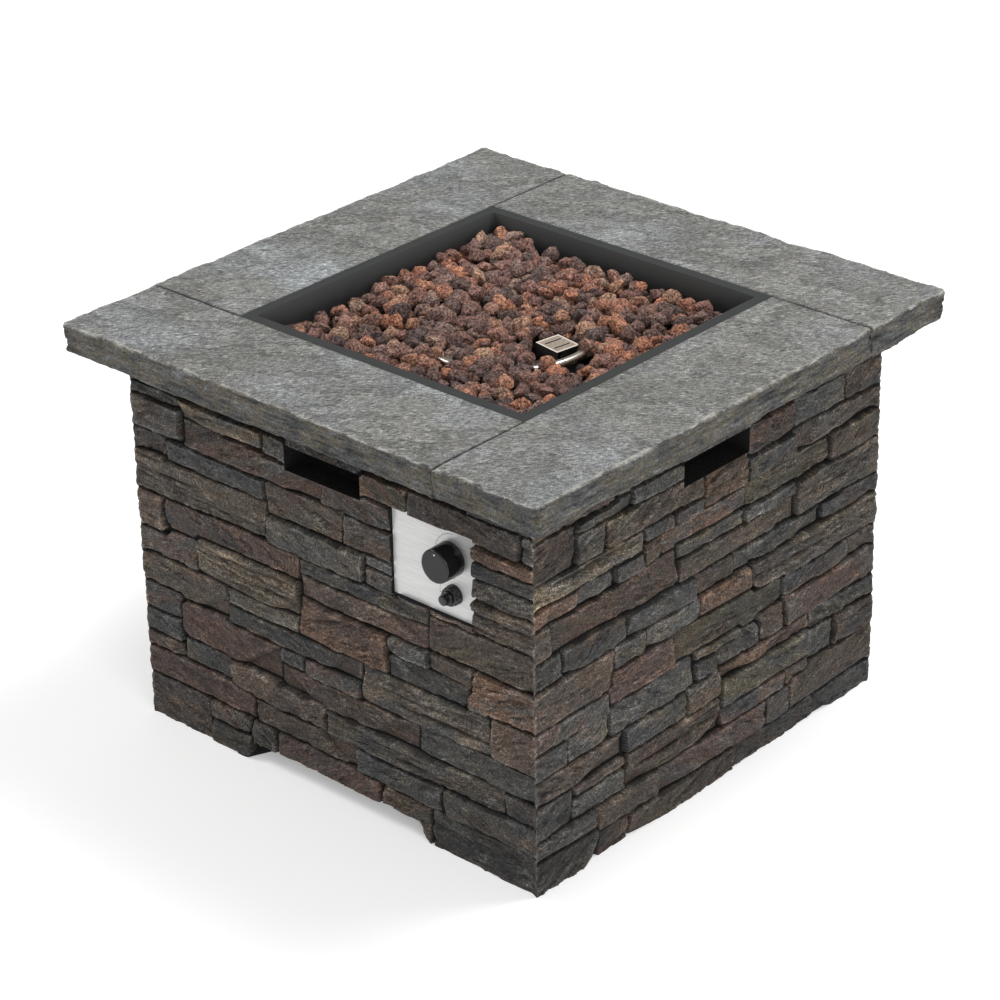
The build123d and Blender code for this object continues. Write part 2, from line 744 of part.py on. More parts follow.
def route_radii(points):
    """Bend radius at each inner point: as large as the two runs there allow."""
    radii = []
    for before, here, after in zip(points, points[1:], points[2:]):
        first = Vector(here) - Vector(before)
        second = Vector(after) - Vector(here)
        half_turn = radians(first.get_angle(second)) / 2
        radii.append(0.45 * min(first.length, second.length) / tan(half_turn))
    return radii


def bent_tube(points, radius, bore=0):
    """Tube or lead along straight runs joined by tangent arcs."""
    radii = route_radii(points)
    print("bend radii", [round(value) for value in radii])
    with BuildPart() as tube:
        with BuildLine() as route:
            FilletPolyline(*points, radius=radii)
        with BuildSketch(Plane(origin=route.line @ 0, z_dir=route.line % 0)):
            Circle(radius)
            if bore:
                Circle(bore, mode=Mode.SUBTRACT)
        sweep()
    return tube


tube_start = port_left.offset(port_reach).origin
tube_points = [
    tube_start,
    tube_start + Vector(-100, 0, 0),
    Vector(0, tube_start.Y + 180, orifice_low - 70),
    Vector(0, 0, orifice_low - 80),
    Vector(0, 0, orifice_low),
]
save(bent_tube(tube_points, tube_radius, tube_radius - tube_wall), "gas_tube")

probe_end = pan_floor - probe_below
magnet_rear = valve_rear + magnet_rear_inset
probe_lead_points = [
    Vector(control_x, -magnet_rear, knob_z + magnet_rise),
    Vector(control_x, 73 - magnet_rear, knob_z + magnet_rise),
    Vector(probe_spot.X + 55, probe_spot.Y - 80, probe_end - 75),
    Vector(probe_spot.X, probe_spot.Y, probe_end - 72),
    Vector(probe_spot.X, probe_spot.Y, probe_end),
]
save(bent_tube(probe_lead_points, lead_radius), "thermocouple_lead")

igniter_rear = panel_face - igniter_length - terminal_length
spark_lead_points = [
    Vector(control_x, -igniter_rear, igniter_z),
    Vector(control_x, 70 - igniter_rear, igniter_z),
    Vector(electrode_spot.X + 65, electrode_spot.Y - 85, probe_end - 105),
    Vector(electrode_spot.X, electrode_spot.Y, probe_end - 100),
    Vector(electrode_spot.X, electrode_spot.Y, probe_end),
]
save(bent_tube(spark_lead_points, lead_radius), "electrode_lead")

# Push igniter: barrel with the battery, lock nut, screw cap, button and spring
igniter_spot = (control_x, igniter_z)


def igniter_plane(reach):
    """Plane across the igniter at a reach in front of the control plate."""
    return wall_plane(0, panel_face + reach)


with BuildPart() as igniter_body:
    disc(igniter_plane(-igniter_length), [igniter_spot], igniter_barrel, igniter_length)
    disc(igniter_plane(0), [igniter_spot], igniter_flange, igniter_flange_thick)
    disc(igniter_plane(0), [igniter_spot], igniter_neck, igniter_neck_end)
    disc(igniter_plane(-igniter_length), [igniter_spot], terminal_radius, -terminal_length)
    bore_start = igniter_end_wall - igniter_length
    disc(igniter_plane(bore_start), [igniter_spot], igniter_bore, igniter_neck_end - bore_start, Mode.SUBTRACT)
save(igniter_body, "igniter_body")

with BuildPart() as igniter_nut:
    hexagon(plate_plane, igniter_spot, igniter_nut_flats, -nut_thick)
    disc(plate_plane, [igniter_spot], igniter_barrel + press_clear, -nut_thick, Mode.SUBTRACT)
save(igniter_nut, "igniter_nut")

with BuildPart() as battery:
    battery_rear = bore_start + seat_gap
    disc(igniter_plane(battery_rear), [igniter_spot], battery_radius, battery_length)
    disc(igniter_plane(battery_rear + battery_length), [igniter_spot], battery_nub, battery_nub_length)
save(battery, "battery")

cap_rear = igniter_flange_thick + move_clear
cap_inner = cap_front - cap_front_wall
with BuildPart() as igniter_cap:
    with BuildSketch(igniter_plane(cap_rear)):
        with Locations(igniter_spot):
            RegularPolygon(igniter_flange, cap_flats)
    extrude(amount=cap_front - cap_rear)
    cap_bore = igniter_neck + move_clear
    disc(igniter_plane(cap_rear), [igniter_spot], cap_bore, cap_inner - cap_rear, Mode.SUBTRACT)
    disc(igniter_plane(cap_inner), [igniter_spot], button_radius + press_clear, cap_front_wall, Mode.SUBTRACT)
save(igniter_cap, "igniter_cap")

button_rear = cap_inner - seat_gap - button_lip_thick
with BuildPart() as igniter_button:
    disc(igniter_plane(button_rear), [igniter_spot], button_radius, button_face - button_rear)
    fillet(igniter_button.faces().sort_by(Axis.Y)[0].edges(), button_radius / 3)
    disc(igniter_plane(button_rear), [igniter_spot], button_radius + button_lip, button_lip_thick)
    disc(igniter_plane(button_rear), [igniter_spot], button_recess, button_recess_depth, Mode.SUBTRACT)
save(igniter_button, "igniter_button")

spring_rear = panel_face + battery_rear + battery_length + seat_gap
spring_front = panel_face + button_rear + button_recess_depth - seat_gap
igniter_spring = coil_spring(
    igniter_spot, spring_rear, spring_front, igniter_spring_radius, igniter_spring_turns
)
save(igniter_spring, "igniter_spring")


# Lava stones: faceted stones in a jittered grid on the pan floor, kept clear of what stands there
def scatter(*seeds):
    """Repeatable number from 0 to 1 for a set of seeds."""
    mixed = sin(sum(seed * weight for seed, weight in zip(seeds, (12.99, 78.23, 37.72)))) * 43758.55
    return mixed - floor(mixed)


def rock_room(x, y, radius):
    """Height that a stone of this radius may have at a place, or 0 where something stands there."""
    from_middle = hypot(x, y)
    at_hood = hood_plane.to_local_coords(Vector(x, y, pan_floor))
    hood_half_y = hood_width / 2 + hood_foot
    if abs(at_hood.X) < hood_length / 2 + radius and abs(at_hood.Y) < hood_half_y + radius:
        return 0
    if from_middle < hub_radius + radius + move_clear:
        return 0
    for quarter in range(4):
        angle = pi / 4 + quarter * pi / 2
        away = hypot(x - ring_radius * cos(angle), y - ring_radius * sin(angle))
        if away < hypot(support_length, support_width) / 2 + radius:
            return 0
    under_ring = abs(from_middle - ring_radius) < ring_tube + radius + move_clear
    under_cross = abs(x) < cross_tube + radius + move_clear and abs(y) < ring_radius
    if under_ring or under_cross:
        return ring_stand - 2 * move_clear
    return rock_bed_height


def rock(x, y, radius, height, row, column):
    """One faceted stone standing on the pan floor."""
    corners = []
    for corner in range(rock_sides):
        angle = 2 * pi * (corner + scatter(row, column, 0)) / rock_sides
        reach = radius * (0.84 + 0.16 * scatter(row, column, corner + 1))
        corners.append((reach * cos(angle), reach * sin(angle)))
    sections = []
    for rise, spread in rock_profile:
        with BuildSketch(Plane.XY.offset(pan_floor + seat_gap + rise * height)) as section:
            with Locations((x, y)):
                Polygon(*[(spread * along, spread * across) for along, across in corners])
        sections.append(section.sketch)
    return loft(sections, ruled=True, mode=Mode.PRIVATE)


with BuildPart() as lava_rocks:
    cell = 2 * (pan_in - pan_corner / 3) / rock_rows
    rock_radius = cell / 2 - rock_gap
    bed = []
    for row in range(rock_rows):
        for column in range(rock_rows):
            rock_x = (row + 0.5 - rock_rows / 2) * cell
            rock_y = (column + 0.5 - rock_rows / 2) * cell
            room = rock_room(rock_x, rock_y, rock_radius)
            if room:
                height = room - (rock_height_spread * scatter(row, column, 9) if room == rock_bed_height else 0)
                bed.append(rock(rock_x, rock_y, rock_radius, height, row, column))
    add(bed)
save(lava_rocks, "lava_rocks")
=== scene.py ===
"""Dresses the square stone fire pit: stacked-stone walls, slate top, lava bed and gas controls."""

import json
import math

import bmesh
import bpy
import numpy as np
from bpy.props import FloatProperty, FloatVectorProperty, IntProperty, PointerProperty
from mathutils import Matrix, Vector

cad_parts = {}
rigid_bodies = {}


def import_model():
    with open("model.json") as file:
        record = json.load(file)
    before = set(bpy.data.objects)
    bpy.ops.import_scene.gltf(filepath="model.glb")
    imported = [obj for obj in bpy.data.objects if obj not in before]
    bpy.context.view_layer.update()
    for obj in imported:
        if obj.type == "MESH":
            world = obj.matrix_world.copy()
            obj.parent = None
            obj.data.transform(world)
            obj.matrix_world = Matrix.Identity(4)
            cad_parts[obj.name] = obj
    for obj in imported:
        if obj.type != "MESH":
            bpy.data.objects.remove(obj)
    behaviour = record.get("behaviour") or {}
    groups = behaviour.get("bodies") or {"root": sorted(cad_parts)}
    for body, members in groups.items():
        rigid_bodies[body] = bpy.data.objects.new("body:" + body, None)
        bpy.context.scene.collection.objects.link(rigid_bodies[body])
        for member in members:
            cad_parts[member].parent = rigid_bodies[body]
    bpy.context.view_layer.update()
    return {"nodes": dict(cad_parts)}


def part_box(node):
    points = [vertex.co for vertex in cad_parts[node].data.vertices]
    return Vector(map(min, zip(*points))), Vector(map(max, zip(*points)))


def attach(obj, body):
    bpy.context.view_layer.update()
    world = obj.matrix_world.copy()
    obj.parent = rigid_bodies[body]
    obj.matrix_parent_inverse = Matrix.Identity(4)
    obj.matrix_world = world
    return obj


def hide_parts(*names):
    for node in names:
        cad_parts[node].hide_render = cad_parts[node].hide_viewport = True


bl_info = {
    "name": "Stone Fire Pit",
    "version": (1, 0, 0),
    "blender": (4, 5, 0),
    "location": "View3D > Sidebar > Fire Pit",
    "description": "Builds the finished look of a square gas fire pit around its construction model",
    "category": "Object",
}

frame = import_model()
NODES = frame["nodes"]
MM = 0.001

WALLS = ("front_wall", "right_wall", "back_wall", "left_wall")
SLABS = ("top_slab_front", "top_slab_right", "top_slab_back", "top_slab_left")
FRONT, BACK = 0, 2

# Places read from the construction model, in millimetres
WALL_LOW, WALL_HIGH = (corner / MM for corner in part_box("right_wall"))
SLAB_LOW, SLAB_HIGH = (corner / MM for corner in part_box("top_slab_front"))
PAN_LOW, PAN_HIGH = (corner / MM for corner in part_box("burner_pan"))
PLATE_LOW, PLATE_HIGH = (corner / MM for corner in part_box("control_panel"))
KNOB_LOW, KNOB_HIGH = (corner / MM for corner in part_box("control_knob"))
CAP_LOW, CAP_HIGH = (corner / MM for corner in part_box("igniter_cap"))
BUTTON_LOW, BUTTON_HIGH = (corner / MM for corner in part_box("igniter_button"))
HOOD_LOW, HOOD_HIGH = (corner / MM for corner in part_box("igniter_hood"))
RING_LOW, RING_HIGH = (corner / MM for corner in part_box("ring_burner"))
WALL_TOP, WALL_INNER = WALL_HIGH.z, WALL_LOW.x
KNOB_X, KNOB_Z = (KNOB_LOW.x + KNOB_HIGH.x) / 2, (KNOB_LOW.z + KNOB_HIGH.z) / 2
BUTTON_X, BUTTON_Z = (BUTTON_LOW.x + BUTTON_HIGH.x) / 2, (BUTTON_LOW.z + BUTTON_HIGH.z) / 2
HOOD_X, HOOD_Y = (HOOD_LOW.x + HOOD_HIGH.x) / 2, (HOOD_LOW.y + HOOD_HIGH.y) / 2

# Walls, in millimetres: the core behind the stones, and how far they stand out at the corners and slots
WALL_CORE = 22.0
BACKING = WALL_INNER + WALL_CORE
CORNER_STAND = 12.0
SLOT_STAND = 11.5
# How far in from a corner and out from a slot the stones begin to follow those stands
CORNER_BLEND = 30.0
SLOT_BLEND = 7.0
# How far in from a corner the grid's points stay in place and the stones give way to the corner's stand
CORNER_HELD, CORNER_END = 10.0, 8.0
# Levels at which a corner's stand is worked out, and where past the backing its pale arris, partly wear and
# partly painted highlight, starts and is full
CORNER_LEVELS = 270
ARRIS_START, ARRIS_FULL = 8.0, 11.0
# Half width of a slot under the top, and how far its lower and upper edge lie below the wall's top
SLOT_HALF = 65.5
SLOT_LOWER, SLOT_UPPER = 82.0, 47.0
# Gaps round the control plate and between the slabs and the pan
PLATE_GAP = 0.5
PAN_GAP = 0.5
# The front wall's arch: from and to where it rises and falls, its height and how far up the stones bend
ARCH_RISES, ARCH_FALLS = (-163.0, -148.0), (146.0, 166.0)
ARCH_HEIGHT, ARCH_WAVE = 28.0, 3.5
ARCH_BEND = 110.0
# Width round a stone's charted place in which it may lie, and the least and the further stand of a stone
STONE_MARGIN = 18.0
STONE_STAND, STONE_PROUD = 8.5, 7.5
# The joint's reach, and its foot, its rim and where its painted shade starts and ends as shares of its width
JOINT_REACH = 2.4
JOINT_FOOT, JOINT_RIM = 0.40, 0.74
DARK_FOOT, DARK_RIM = 0.44, 0.90
# What each of a stone's random draws settles: its stand, its tilt along and up, the lean of its grain,
# three sheets and the layers on its face, its shoulder, its brightness and the tone mingled with its own
DRAW_STAND, DRAW_TILT_X, DRAW_TILT_Z, DRAW_LEAN, DRAW_SHEET = 0, 1, 2, 3, 4
DRAW_LAYERS, DRAW_SHOULDER, DRAW_LIGHT, DRAW_PARTNER, DRAWS = 7, 8, 14, 15, 16
PARTNER_TONES = ("umber", "slate", "russet", "grey", "olive")
LAYERED_TONES = ("layered", "buff")

# Top slabs, in millimetres: how far in their hewn edge, its pale arris of wear and painted highlight and its
# chips reach, and the chips' depth
HEWN_REACH, WEAR_AND_HIGHLIGHT_REACH, CHIP_REACH = 7.0, 2.6, 5.0
CHIP_DEPTH = 7.0
# Depth and width of the groove at the end of a seam and of the bevel along seams and opening
GROOVE_DEPTH, GROOVE_WIDTH = 2.5, 1.6
BEVEL_DEPTH, BEVEL_WIDTH = 1.5, 1.8

# First seeds of the random draws and noise of each group of pieces
WALL_SEED, CORNER_SEED, SLAB_SEED, LAVA_SEED = 11, 90, 40, 60

# Lava bed, in millimetres: its gap to the pan, and for each layer its level over the pan's floor,
# the random rise of a stone, the rise towards the back and its seed
BED_GAP = 15.0
LAVA_SHAPES = 8
LAVA_LAYERS = (("lower", 17.0, 6.0, 3.0, 31), ("middle", 30.0, 6.0, 6.0, 33), ("filling", 34.0, 7.0, 7.0, 37),
               ("upper", 36.0, 10.0, 9.0, 32))
# Heights over the pan's floor between which the lava's painted shade lifts, and depths under the pan's top
# between which the pan turns from dark to its coat
LAVA_DARK, LAVA_LIGHT = 20.0, 60.0
BOWL_DARK_DEPTH, BOWL_LIGHT_DEPTH = 30.0, 1.5
# Round clearings in the bed at the hood, in every layer: x, y and radius
HOOD_CLEARINGS = ((HOOD_X, HOOD_Y, 36.0), (HOOD_X + 12.0, HOOD_Y - 16.0, 32.0))
# The same where stretches of the ring show, above the lower layer
RING = (RING_HIGH.x - RING_LOW.x) / 2 - 6.5
RING_CLEARINGS = ((-0.44 * RING, -0.95 * RING, 22.0), (0.04 * RING, -1.04 * RING, 17.0),
                  (1.05 * RING, -0.22 * RING, 23.0))
# Half length and half width of the hood's roof, and its turn in degrees
HOOD_ROOF = (21.3, 18.9)
HOOD_TURN = -9.0

# Dials on the control plate: radius in millimetres, start and sweep in degrees
KNOB_DIAL, IGNITER_DIAL = (30.0, 92.0, 178.0), (24.0, 160.0, 40.0)
IGNITER_DOTS = 5
DOT_RADIUS, DOT_HEIGHT = 0.75, 0.12
# Steps round the knob and the collar, the button and the pointer dot
WIDE_ROUND, BUTTON_ROUND, POINTER_ROUND = 96, 64, 20

# Stage, in metres and degrees: the camera, the floor and the lamps' places, sizes and watts
CAMERA_PLACE = (2.5294, -2.8112, 2.2500)
CAMERA_AZIMUTH, CAMERA_ELEVATION, CAMERA_ROLL = 42.180, 27.249, -0.975
CAMERA_LENS, CAMERA_SENSOR, CAMERA_END = 115.01, 36.0, 60.0
FLOOR_REACH = 12.0
FLOOR_GLOW = 0.30
ROOM_LIGHT, ROOM_SEEN = 0.40, 1.0
LAMP_AIM = (0, 0, 0.35)
LAMPS = (("key", (-3.7, -1.5, 3.4), 1.5, 104), ("fill", (3.4, -2.2, 2.2), 2.6, 66),
         ("top", (1.0, 1.5, 4.1), 1.6, 112))

# The stone faces as read off a chart of each face with half-millimetre steps:
# left, right, upper, lower, tone and, for some, how far it stands out from 0 to 1.
# The chart starts at this corner of the face.
CHART_STEP = 0.5
CHART_LEFT = -358.0
CHART_TOP = 564.6
FRONT_CHART = (
    (0, 300, 40, 126, "umber"), (304, 574, 40, 128, "slate"), (578, 852, 40, 152, "grey"),
    (856, 1200, 40, 126, "umber"), (1204, 1440, 40, 126, "slate"),
    (0, 197, 130, 162, "dark"), (200, 498, 130, 186, "buff"), (502, 604, 130, 205, "grey", 0.4),
    (828, 1000, 130, 206, "rust", 0.6), (1003, 1366, 130, 206, "umber", 0.75),
    (1369, 1440, 130, 210, "grey"),
    (0, 197, 165, 256, "grey"), (200, 702, 190, 266, "russet"), (706, 966, 192, 268, "grey", 0.45),
    (1192, 1440, 206, 246, "rust", 0.95), (1192, 1440, 250, 293, "dark", 0.7),
    (1192, 1440, 296, 350, "grey", 0.9),
    (1192, 1440, 354, 446, "layered", 0.8),
    (0, 134, 259, 315, "slate"), (138, 497, 268, 328, "slate"), (500, 771, 271, 360, "umber"),
    (775, 966, 272, 354, "umber", 0.5),
    (0, 502, 331, 440, "layered"), (506, 846, 364, 446, "grey"), (850, 966, 358, 392, "slate", 0.4),
    (850, 966, 395, 446, "grey", 0.4), (945, 1062, 416, 453, "slate", 0.6),
    (1066, 1222, 416, 453, "umber", 0.6),
    (0, 108, 444, 552, "umber"), (112, 612, 442, 520, "russet"), (616, 1052, 450, 494, "slate"),
    (616, 1052, 497, 562, "umber"), (1056, 1440, 454, 556, "umber"),
    (0, 232, 556, 628, "grey"), (235, 602, 524, 628, "buff"), (606, 916, 566, 676, "rust"),
    (919, 1056, 560, 612, "grey"), (919, 1172, 615, 680, "slate"), (1060, 1202, 560, 611, "umber"),
    (1206, 1440, 560, 662, "rust"),
    (0, 336, 631, 717, "umber"), (340, 602, 631, 680, "grey"), (340, 818, 684, 740, "slate"),
    (822, 1258, 683, 784, "layered"), (1262, 1440, 666, 784, "umber"),
    (0, 154, 720, 796, "slate"), (158, 522, 743, 842, "russet"), (526, 614, 744, 788, "grey"),
    (618, 818, 744, 790, "slate"), (526, 1011, 794, 864, "umber"), (1015, 1440, 788, 868, "grey"),
    (0, 156, 800, 867, "slate"), (0, 156, 870, 916, "umber"), (160, 340, 846, 914, "slate"),
    (344, 690, 850, 932, "umber"), (694, 1296, 868, 940, "layered"), (1300, 1440, 872, 938, "dark"),
    (0, 420, 919, 1002, "russet"), (424, 790, 936, 1004, "umber"), (794, 1094, 944, 1010, "slate"),
    (1098, 1440, 942, 1016, "grey"),
    (0, 246, 1005, 1132, "umber"), (249, 402, 1006, 1056, "grey"), (249, 402, 1060, 1132, "dark"),
    (405, 494, 1007, 1132, "slate"), (498, 872, 1010, 1132, "russet"), (876, 1050, 1014, 1132, "umber"),
    (1054, 1440, 1020, 1132, "dark"),
)
# The back repeats the front, with stones where the front has its control plate
BACK_CHART = FRONT_CHART + (
    (970, 1188, 210, 284, "russet"), (970, 1072, 288, 350, "slate"), (1076, 1188, 288, 350, "grey"),
    (970, 1188, 354, 412, "umber"),
)
SIDE_CHART = (
    (0, 330, 40, 146, "umber"), (334, 576, 40, 134, "slate"), (580, 856, 40, 152, "grey"),
    (860, 1180, 40, 136, "russet"), (1184, 1440, 40, 136, "slate"),
    (0, 180, 150, 266, "umber"), (184, 288, 184, 266, "grey"), (184, 388, 148, 180, "slate"),
    (392, 606, 140, 186, "grey"), (830, 1044, 140, 224, "russet"), (1048, 1262, 140, 222, "grey"),
    (1266, 1440, 140, 224, "umber"),
    (292, 666, 190, 262, "umber"), (670, 850, 190, 302, "rust"), (854, 1046, 228, 296, "slate"),
    (1050, 1440, 227, 288, "umber"),
    (0, 438, 270, 327, "buff"), (442, 552, 266, 306, "grey"), (556, 666, 266, 302, "slate"),
    (442, 508, 310, 366, "umber"), (512, 846, 306, 366, "rust"), (850, 1196, 300, 370, "olive"),
    (1200, 1440, 292, 372, "umber"),
    (0, 194, 331, 384, "rust"), (198, 328, 331, 382, "grey"), (332, 438, 331, 374, "slate"),
    (0, 98, 388, 476, "umber"), (102, 578, 386, 472, "russet"), (582, 838, 370, 414, "slate"),
    (842, 1056, 374, 412, "grey"), (582, 1056, 418, 480, "umber"), (1060, 1440, 376, 482, "layered"),
    (0, 132, 480, 548, "grey"), (136, 372, 476, 546, "slate"), (376, 644, 484, 545, "slate"),
    (648, 806, 484, 546, "umber"), (810, 1166, 484, 540, "grey"), (1170, 1440, 486, 537, "slate"),
    (0, 318, 552, 662, "umber"), (322, 442, 550, 614, "slate"), (446, 662, 549, 610, "grey"),
    (666, 876, 550, 612, "rust"), (880, 1440, 541, 636, "layered"),
    (0, 304, 666, 726, "grey"), (308, 562, 618, 710, "russet"), (566, 1006, 615, 704, "olive"),
    (1010, 1300, 640, 696, "grey"), (1304, 1440, 640, 696, "umber"),
    (0, 144, 730, 800, "slate"), (148, 304, 730, 800, "grey"), (308, 646, 714, 801, "slate"),
    (650, 736, 742, 796, "slate"), (650, 832, 708, 739, "umber"), (740, 916, 743, 794, "grey"),
    (920, 1018, 708, 792, "umber"), (1022, 1440, 700, 787, "russet"),
    (0, 362, 804, 876, "umber"), (366, 608, 805, 876, "slate"), (612, 752, 800, 876, "umber"),
    (756, 1126, 798, 838, "rust"), (756, 1132, 842, 922, "olive"), (1136, 1440, 791, 852, "grey"),
    (0, 166, 880, 982, "dark"), (170, 372, 880, 910, "umber"), (170, 372, 914, 980, "grey"),
    (376, 752, 880, 978, "layered"), (756, 1026, 926, 978, "slate"), (1030, 1132, 926, 978, "umber"),
    (1136, 1240, 856, 946, "grey"), (1244, 1440, 856, 946, "umber"),
    (0, 252, 986, 1034, "slate"), (256, 496, 984, 1056, "umber"), (500, 944, 982, 1058, "russet"),
    (948, 1046, 982, 1062, "grey"), (1050, 1440, 950, 1056, "umber"),
    (0, 256, 1038, 1132, "dark"), (260, 382, 1060, 1132, "dark"), (386, 810, 1062, 1132, "umber"),
    (814, 1166, 1066, 1132, "slate"), (1170, 1440, 1060, 1132, "slate"),
)


def length_property(name, description, millimetres):
    """A length that a user may change."""
    return FloatProperty(name=name, description=description, unit="LENGTH", default=millimetres * MM)


class FirePitSizes(bpy.types.PropertyGroup):
    """Sizes of the finish that a user may change."""

    stone_step: length_property("Stone mesh step", "Spacing of the stone relief's mesh", 2.0)
    stone_joint: length_property("Stone joint", "Width of the joint between stones", 2.8)
    slab_step: length_property("Slab mesh step", "Spacing of the top slabs' mesh", 2.2)
    slab_chip: length_property("Slab edge depth", "Depth of the hewn edge of the top", 5.0)
    rock_spacing: length_property("Lava spacing", "Distance between lava stones in a layer", 24.5)
    rock_small: length_property("Smallest lava stone", "Half size of the smallest lava stone", 11.5)
    rock_large: length_property("Largest lava stone", "Half size of the largest lava stone", 20.5)
    dial_dots: IntProperty(
        name="Dial dots", description="Number of dots in the dial round the knob", default=33)


def colour_property(name, red, green, blue):
    """A colour that a user may change."""
    return FloatVectorProperty(
        name=name, description=f"Colour of the {name.lower()}", subtype="COLOR", size=3, min=0.0, max=1.0,
        default=(red, green, blue))


class FirePitColours(bpy.types.PropertyGroup):
    """Colours of the finish that a user may change."""

    umber: colour_property("Umber stone", 0.066, 0.052, 0.043)
    slate: colour_property("Slate stone", 0.049, 0.049, 0.049)
    grey: colour_property("Grey stone", 0.074, 0.072, 0.067)
    russet: colour_property("Russet stone", 0.080, 0.054, 0.045)
    rust: colour_property("Rust stone", 0.100, 0.066, 0.048)
    buff: colour_property("Buff stone", 0.112, 0.096, 0.074)
    olive: colour_property("Olive stone", 0.066, 0.060, 0.044)
    layered: colour_property("Layered stone", 0.084, 0.073, 0.060)
    dark: colour_property("Dark stone", 0.032, 0.030, 0.029)
    # Near black: painted shade down in the gaps between stones, on the walls' returns and at the slabs' seams
    joint: colour_property("Joint", 0.004, 0.004, 0.004)
    top_grey: colour_property("Top slab", 0.207, 0.211, 0.208)
    # Pale arris of the slabs: partly wear, partly painted highlight
    top_wear_and_highlight: colour_property("Worn slab edge", 0.48, 0.47, 0.43)
    top_tan: colour_property("Tan slab patches", 0.150, 0.132, 0.096)
    pan_coat: colour_property("Pan coat", 0.040, 0.042, 0.042)


def size(name):
    """One of the lengths in use, in millimetres."""
    return round(getattr(bpy.context.scene.fire_pit_sizes, name) / MM, 4)


def tone(name):
    """One of the colours in use."""
    return tuple(getattr(bpy.context.scene.fire_pit_colours, name))


def scaled(colour, share):
    """A colour times a number, or times one number for each of its parts."""
    return tuple(np.multiply(colour, share))


# Repeatable noise on arrays
def lattice(column, row, seed):
    """A number from 0 to 1 for each lattice point."""
    mixed = np.sin(column * 127.1 + row * 311.7 + seed * 74.7) * 43758.5453
    return mixed - np.floor(mixed)


def noise(x, y, seed):
    """Smooth noise from -1 to 1."""
    column, row = np.floor(x), np.floor(y)
    across, up = x - column, y - row
    across = across * across * (3 - 2 * across)
    up = up * up * (3 - 2 * up)
    low = lattice(column, row, seed) * (1 - across) + lattice(column + 1, row, seed) * across
    high = lattice(column, row + 1, seed) * (1 - across) + lattice(column + 1, row + 1, seed) * across
    return 2 * (low * (1 - up) + high * up) - 1


def rough(x, y, seed, octaves=4):
    """Layered noise, each layer twice as fine and half as strong."""
    total, strength = 0, 1
    for octave in range(octaves):
        total = total + strength * noise(x * 2 ** octave, y * 2 ** octave, seed + 17 * octave)
        strength *= 0.5
    return total / 1.9


def smooth(value, low, high):
    """Smooth step from 0 at low to 1 at high."""
    share = np.clip((value - low) / (high - low), 0, 1)
    return share * share * (3 - 2 * share)


def blur(field, reach):
    """Box blur over reach cells each way, done twice."""
    span = 2 * reach + 1
    for axis in (0, 1, 0, 1):
        padded = np.pad(field, [(reach + 1, reach) if a == axis else (0, 0) for a in (0, 1)], mode="edge")
        total = np.moveaxis(np.cumsum(padded, axis=axis), axis, 0)
        field = np.moveaxis((total[span:] - total[:-span]) / span, 0, axis)
    return field


# Meshes and objects
def quarter_turn(quarter):
    """Turns the front side's frame to that of another side."""
    return np.array(Matrix.Rotation(quarter * math.pi / 2, 3, "Z"))


def new_piece(name, mesh, material, body, nodes=()):
    """Places a finished mesh as a piece that rides on a body and stands for its nodes."""
    mesh.materials.clear()
    mesh.materials.append(material)
    piece = bpy.data.objects.new(name, mesh)
    bpy.context.scene.collection.objects.link(piece)
    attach(piece, body)
    if nodes:
        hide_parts(*nodes)


def point_values(mesh, name, values):
    """Stores a number at each point of a mesh."""
    attribute = mesh.attributes.new(name, "FLOAT", "POINT")
    attribute.data.foreach_set("value", values.astype(np.float32))


def shade(mesh, angle):
    """Smooth shading with sharp edges over an angle in degrees."""
    mesh.polygons.foreach_set("use_smooth", [True] * len(mesh.polygons))
    mesh.set_sharp_from_angle(angle=math.radians(angle))


def mesh_from(bm, name):
    """Turns a bmesh into a mesh with outward faces."""
    bmesh.ops.remove_doubles(bm, verts=bm.verts, dist=0.00001)
    bmesh.ops.recalc_face_normals(bm, faces=bm.faces)
    mesh = bpy.data.meshes.new(name)
    bm.to_mesh(mesh)
    bm.free()
    return mesh


def turned_mesh(name, profile, centre, steps, flutes=0, flute_depth=0.0, flute_span=(0, 0), hollow=False):
    """Turns a profile of (radius, reach) about an axis along -Y through a centre, in millimetres."""
    bm = bmesh.new()
    rings = []
    for radius, reach in profile:
        ring = []
        for step in range(steps):
            angle = 2 * math.pi * step / steps
            out = radius
            if flutes and flute_span[0] <= reach <= flute_span[1]:
                out -= flute_depth * (0.5 - 0.5 * math.cos(flutes * angle))
            place = Vector((centre[0] + out * math.cos(angle), -reach, centre[1] + out * math.sin(angle)))
            ring.append(bm.verts.new(place * MM))
        rings.append(ring)
    for lower, upper in zip(rings, rings[1:] + rings[:hollow]):
        for step in range(steps):
            after = (step + 1) % steps
            bm.faces.new((lower[step], lower[after], upper[after], upper[step]))
    if not hollow:
        bm.faces.new(list(reversed(rings[0])))
        bm.faces.new(rings[-1])
    return mesh_from(bm, name)


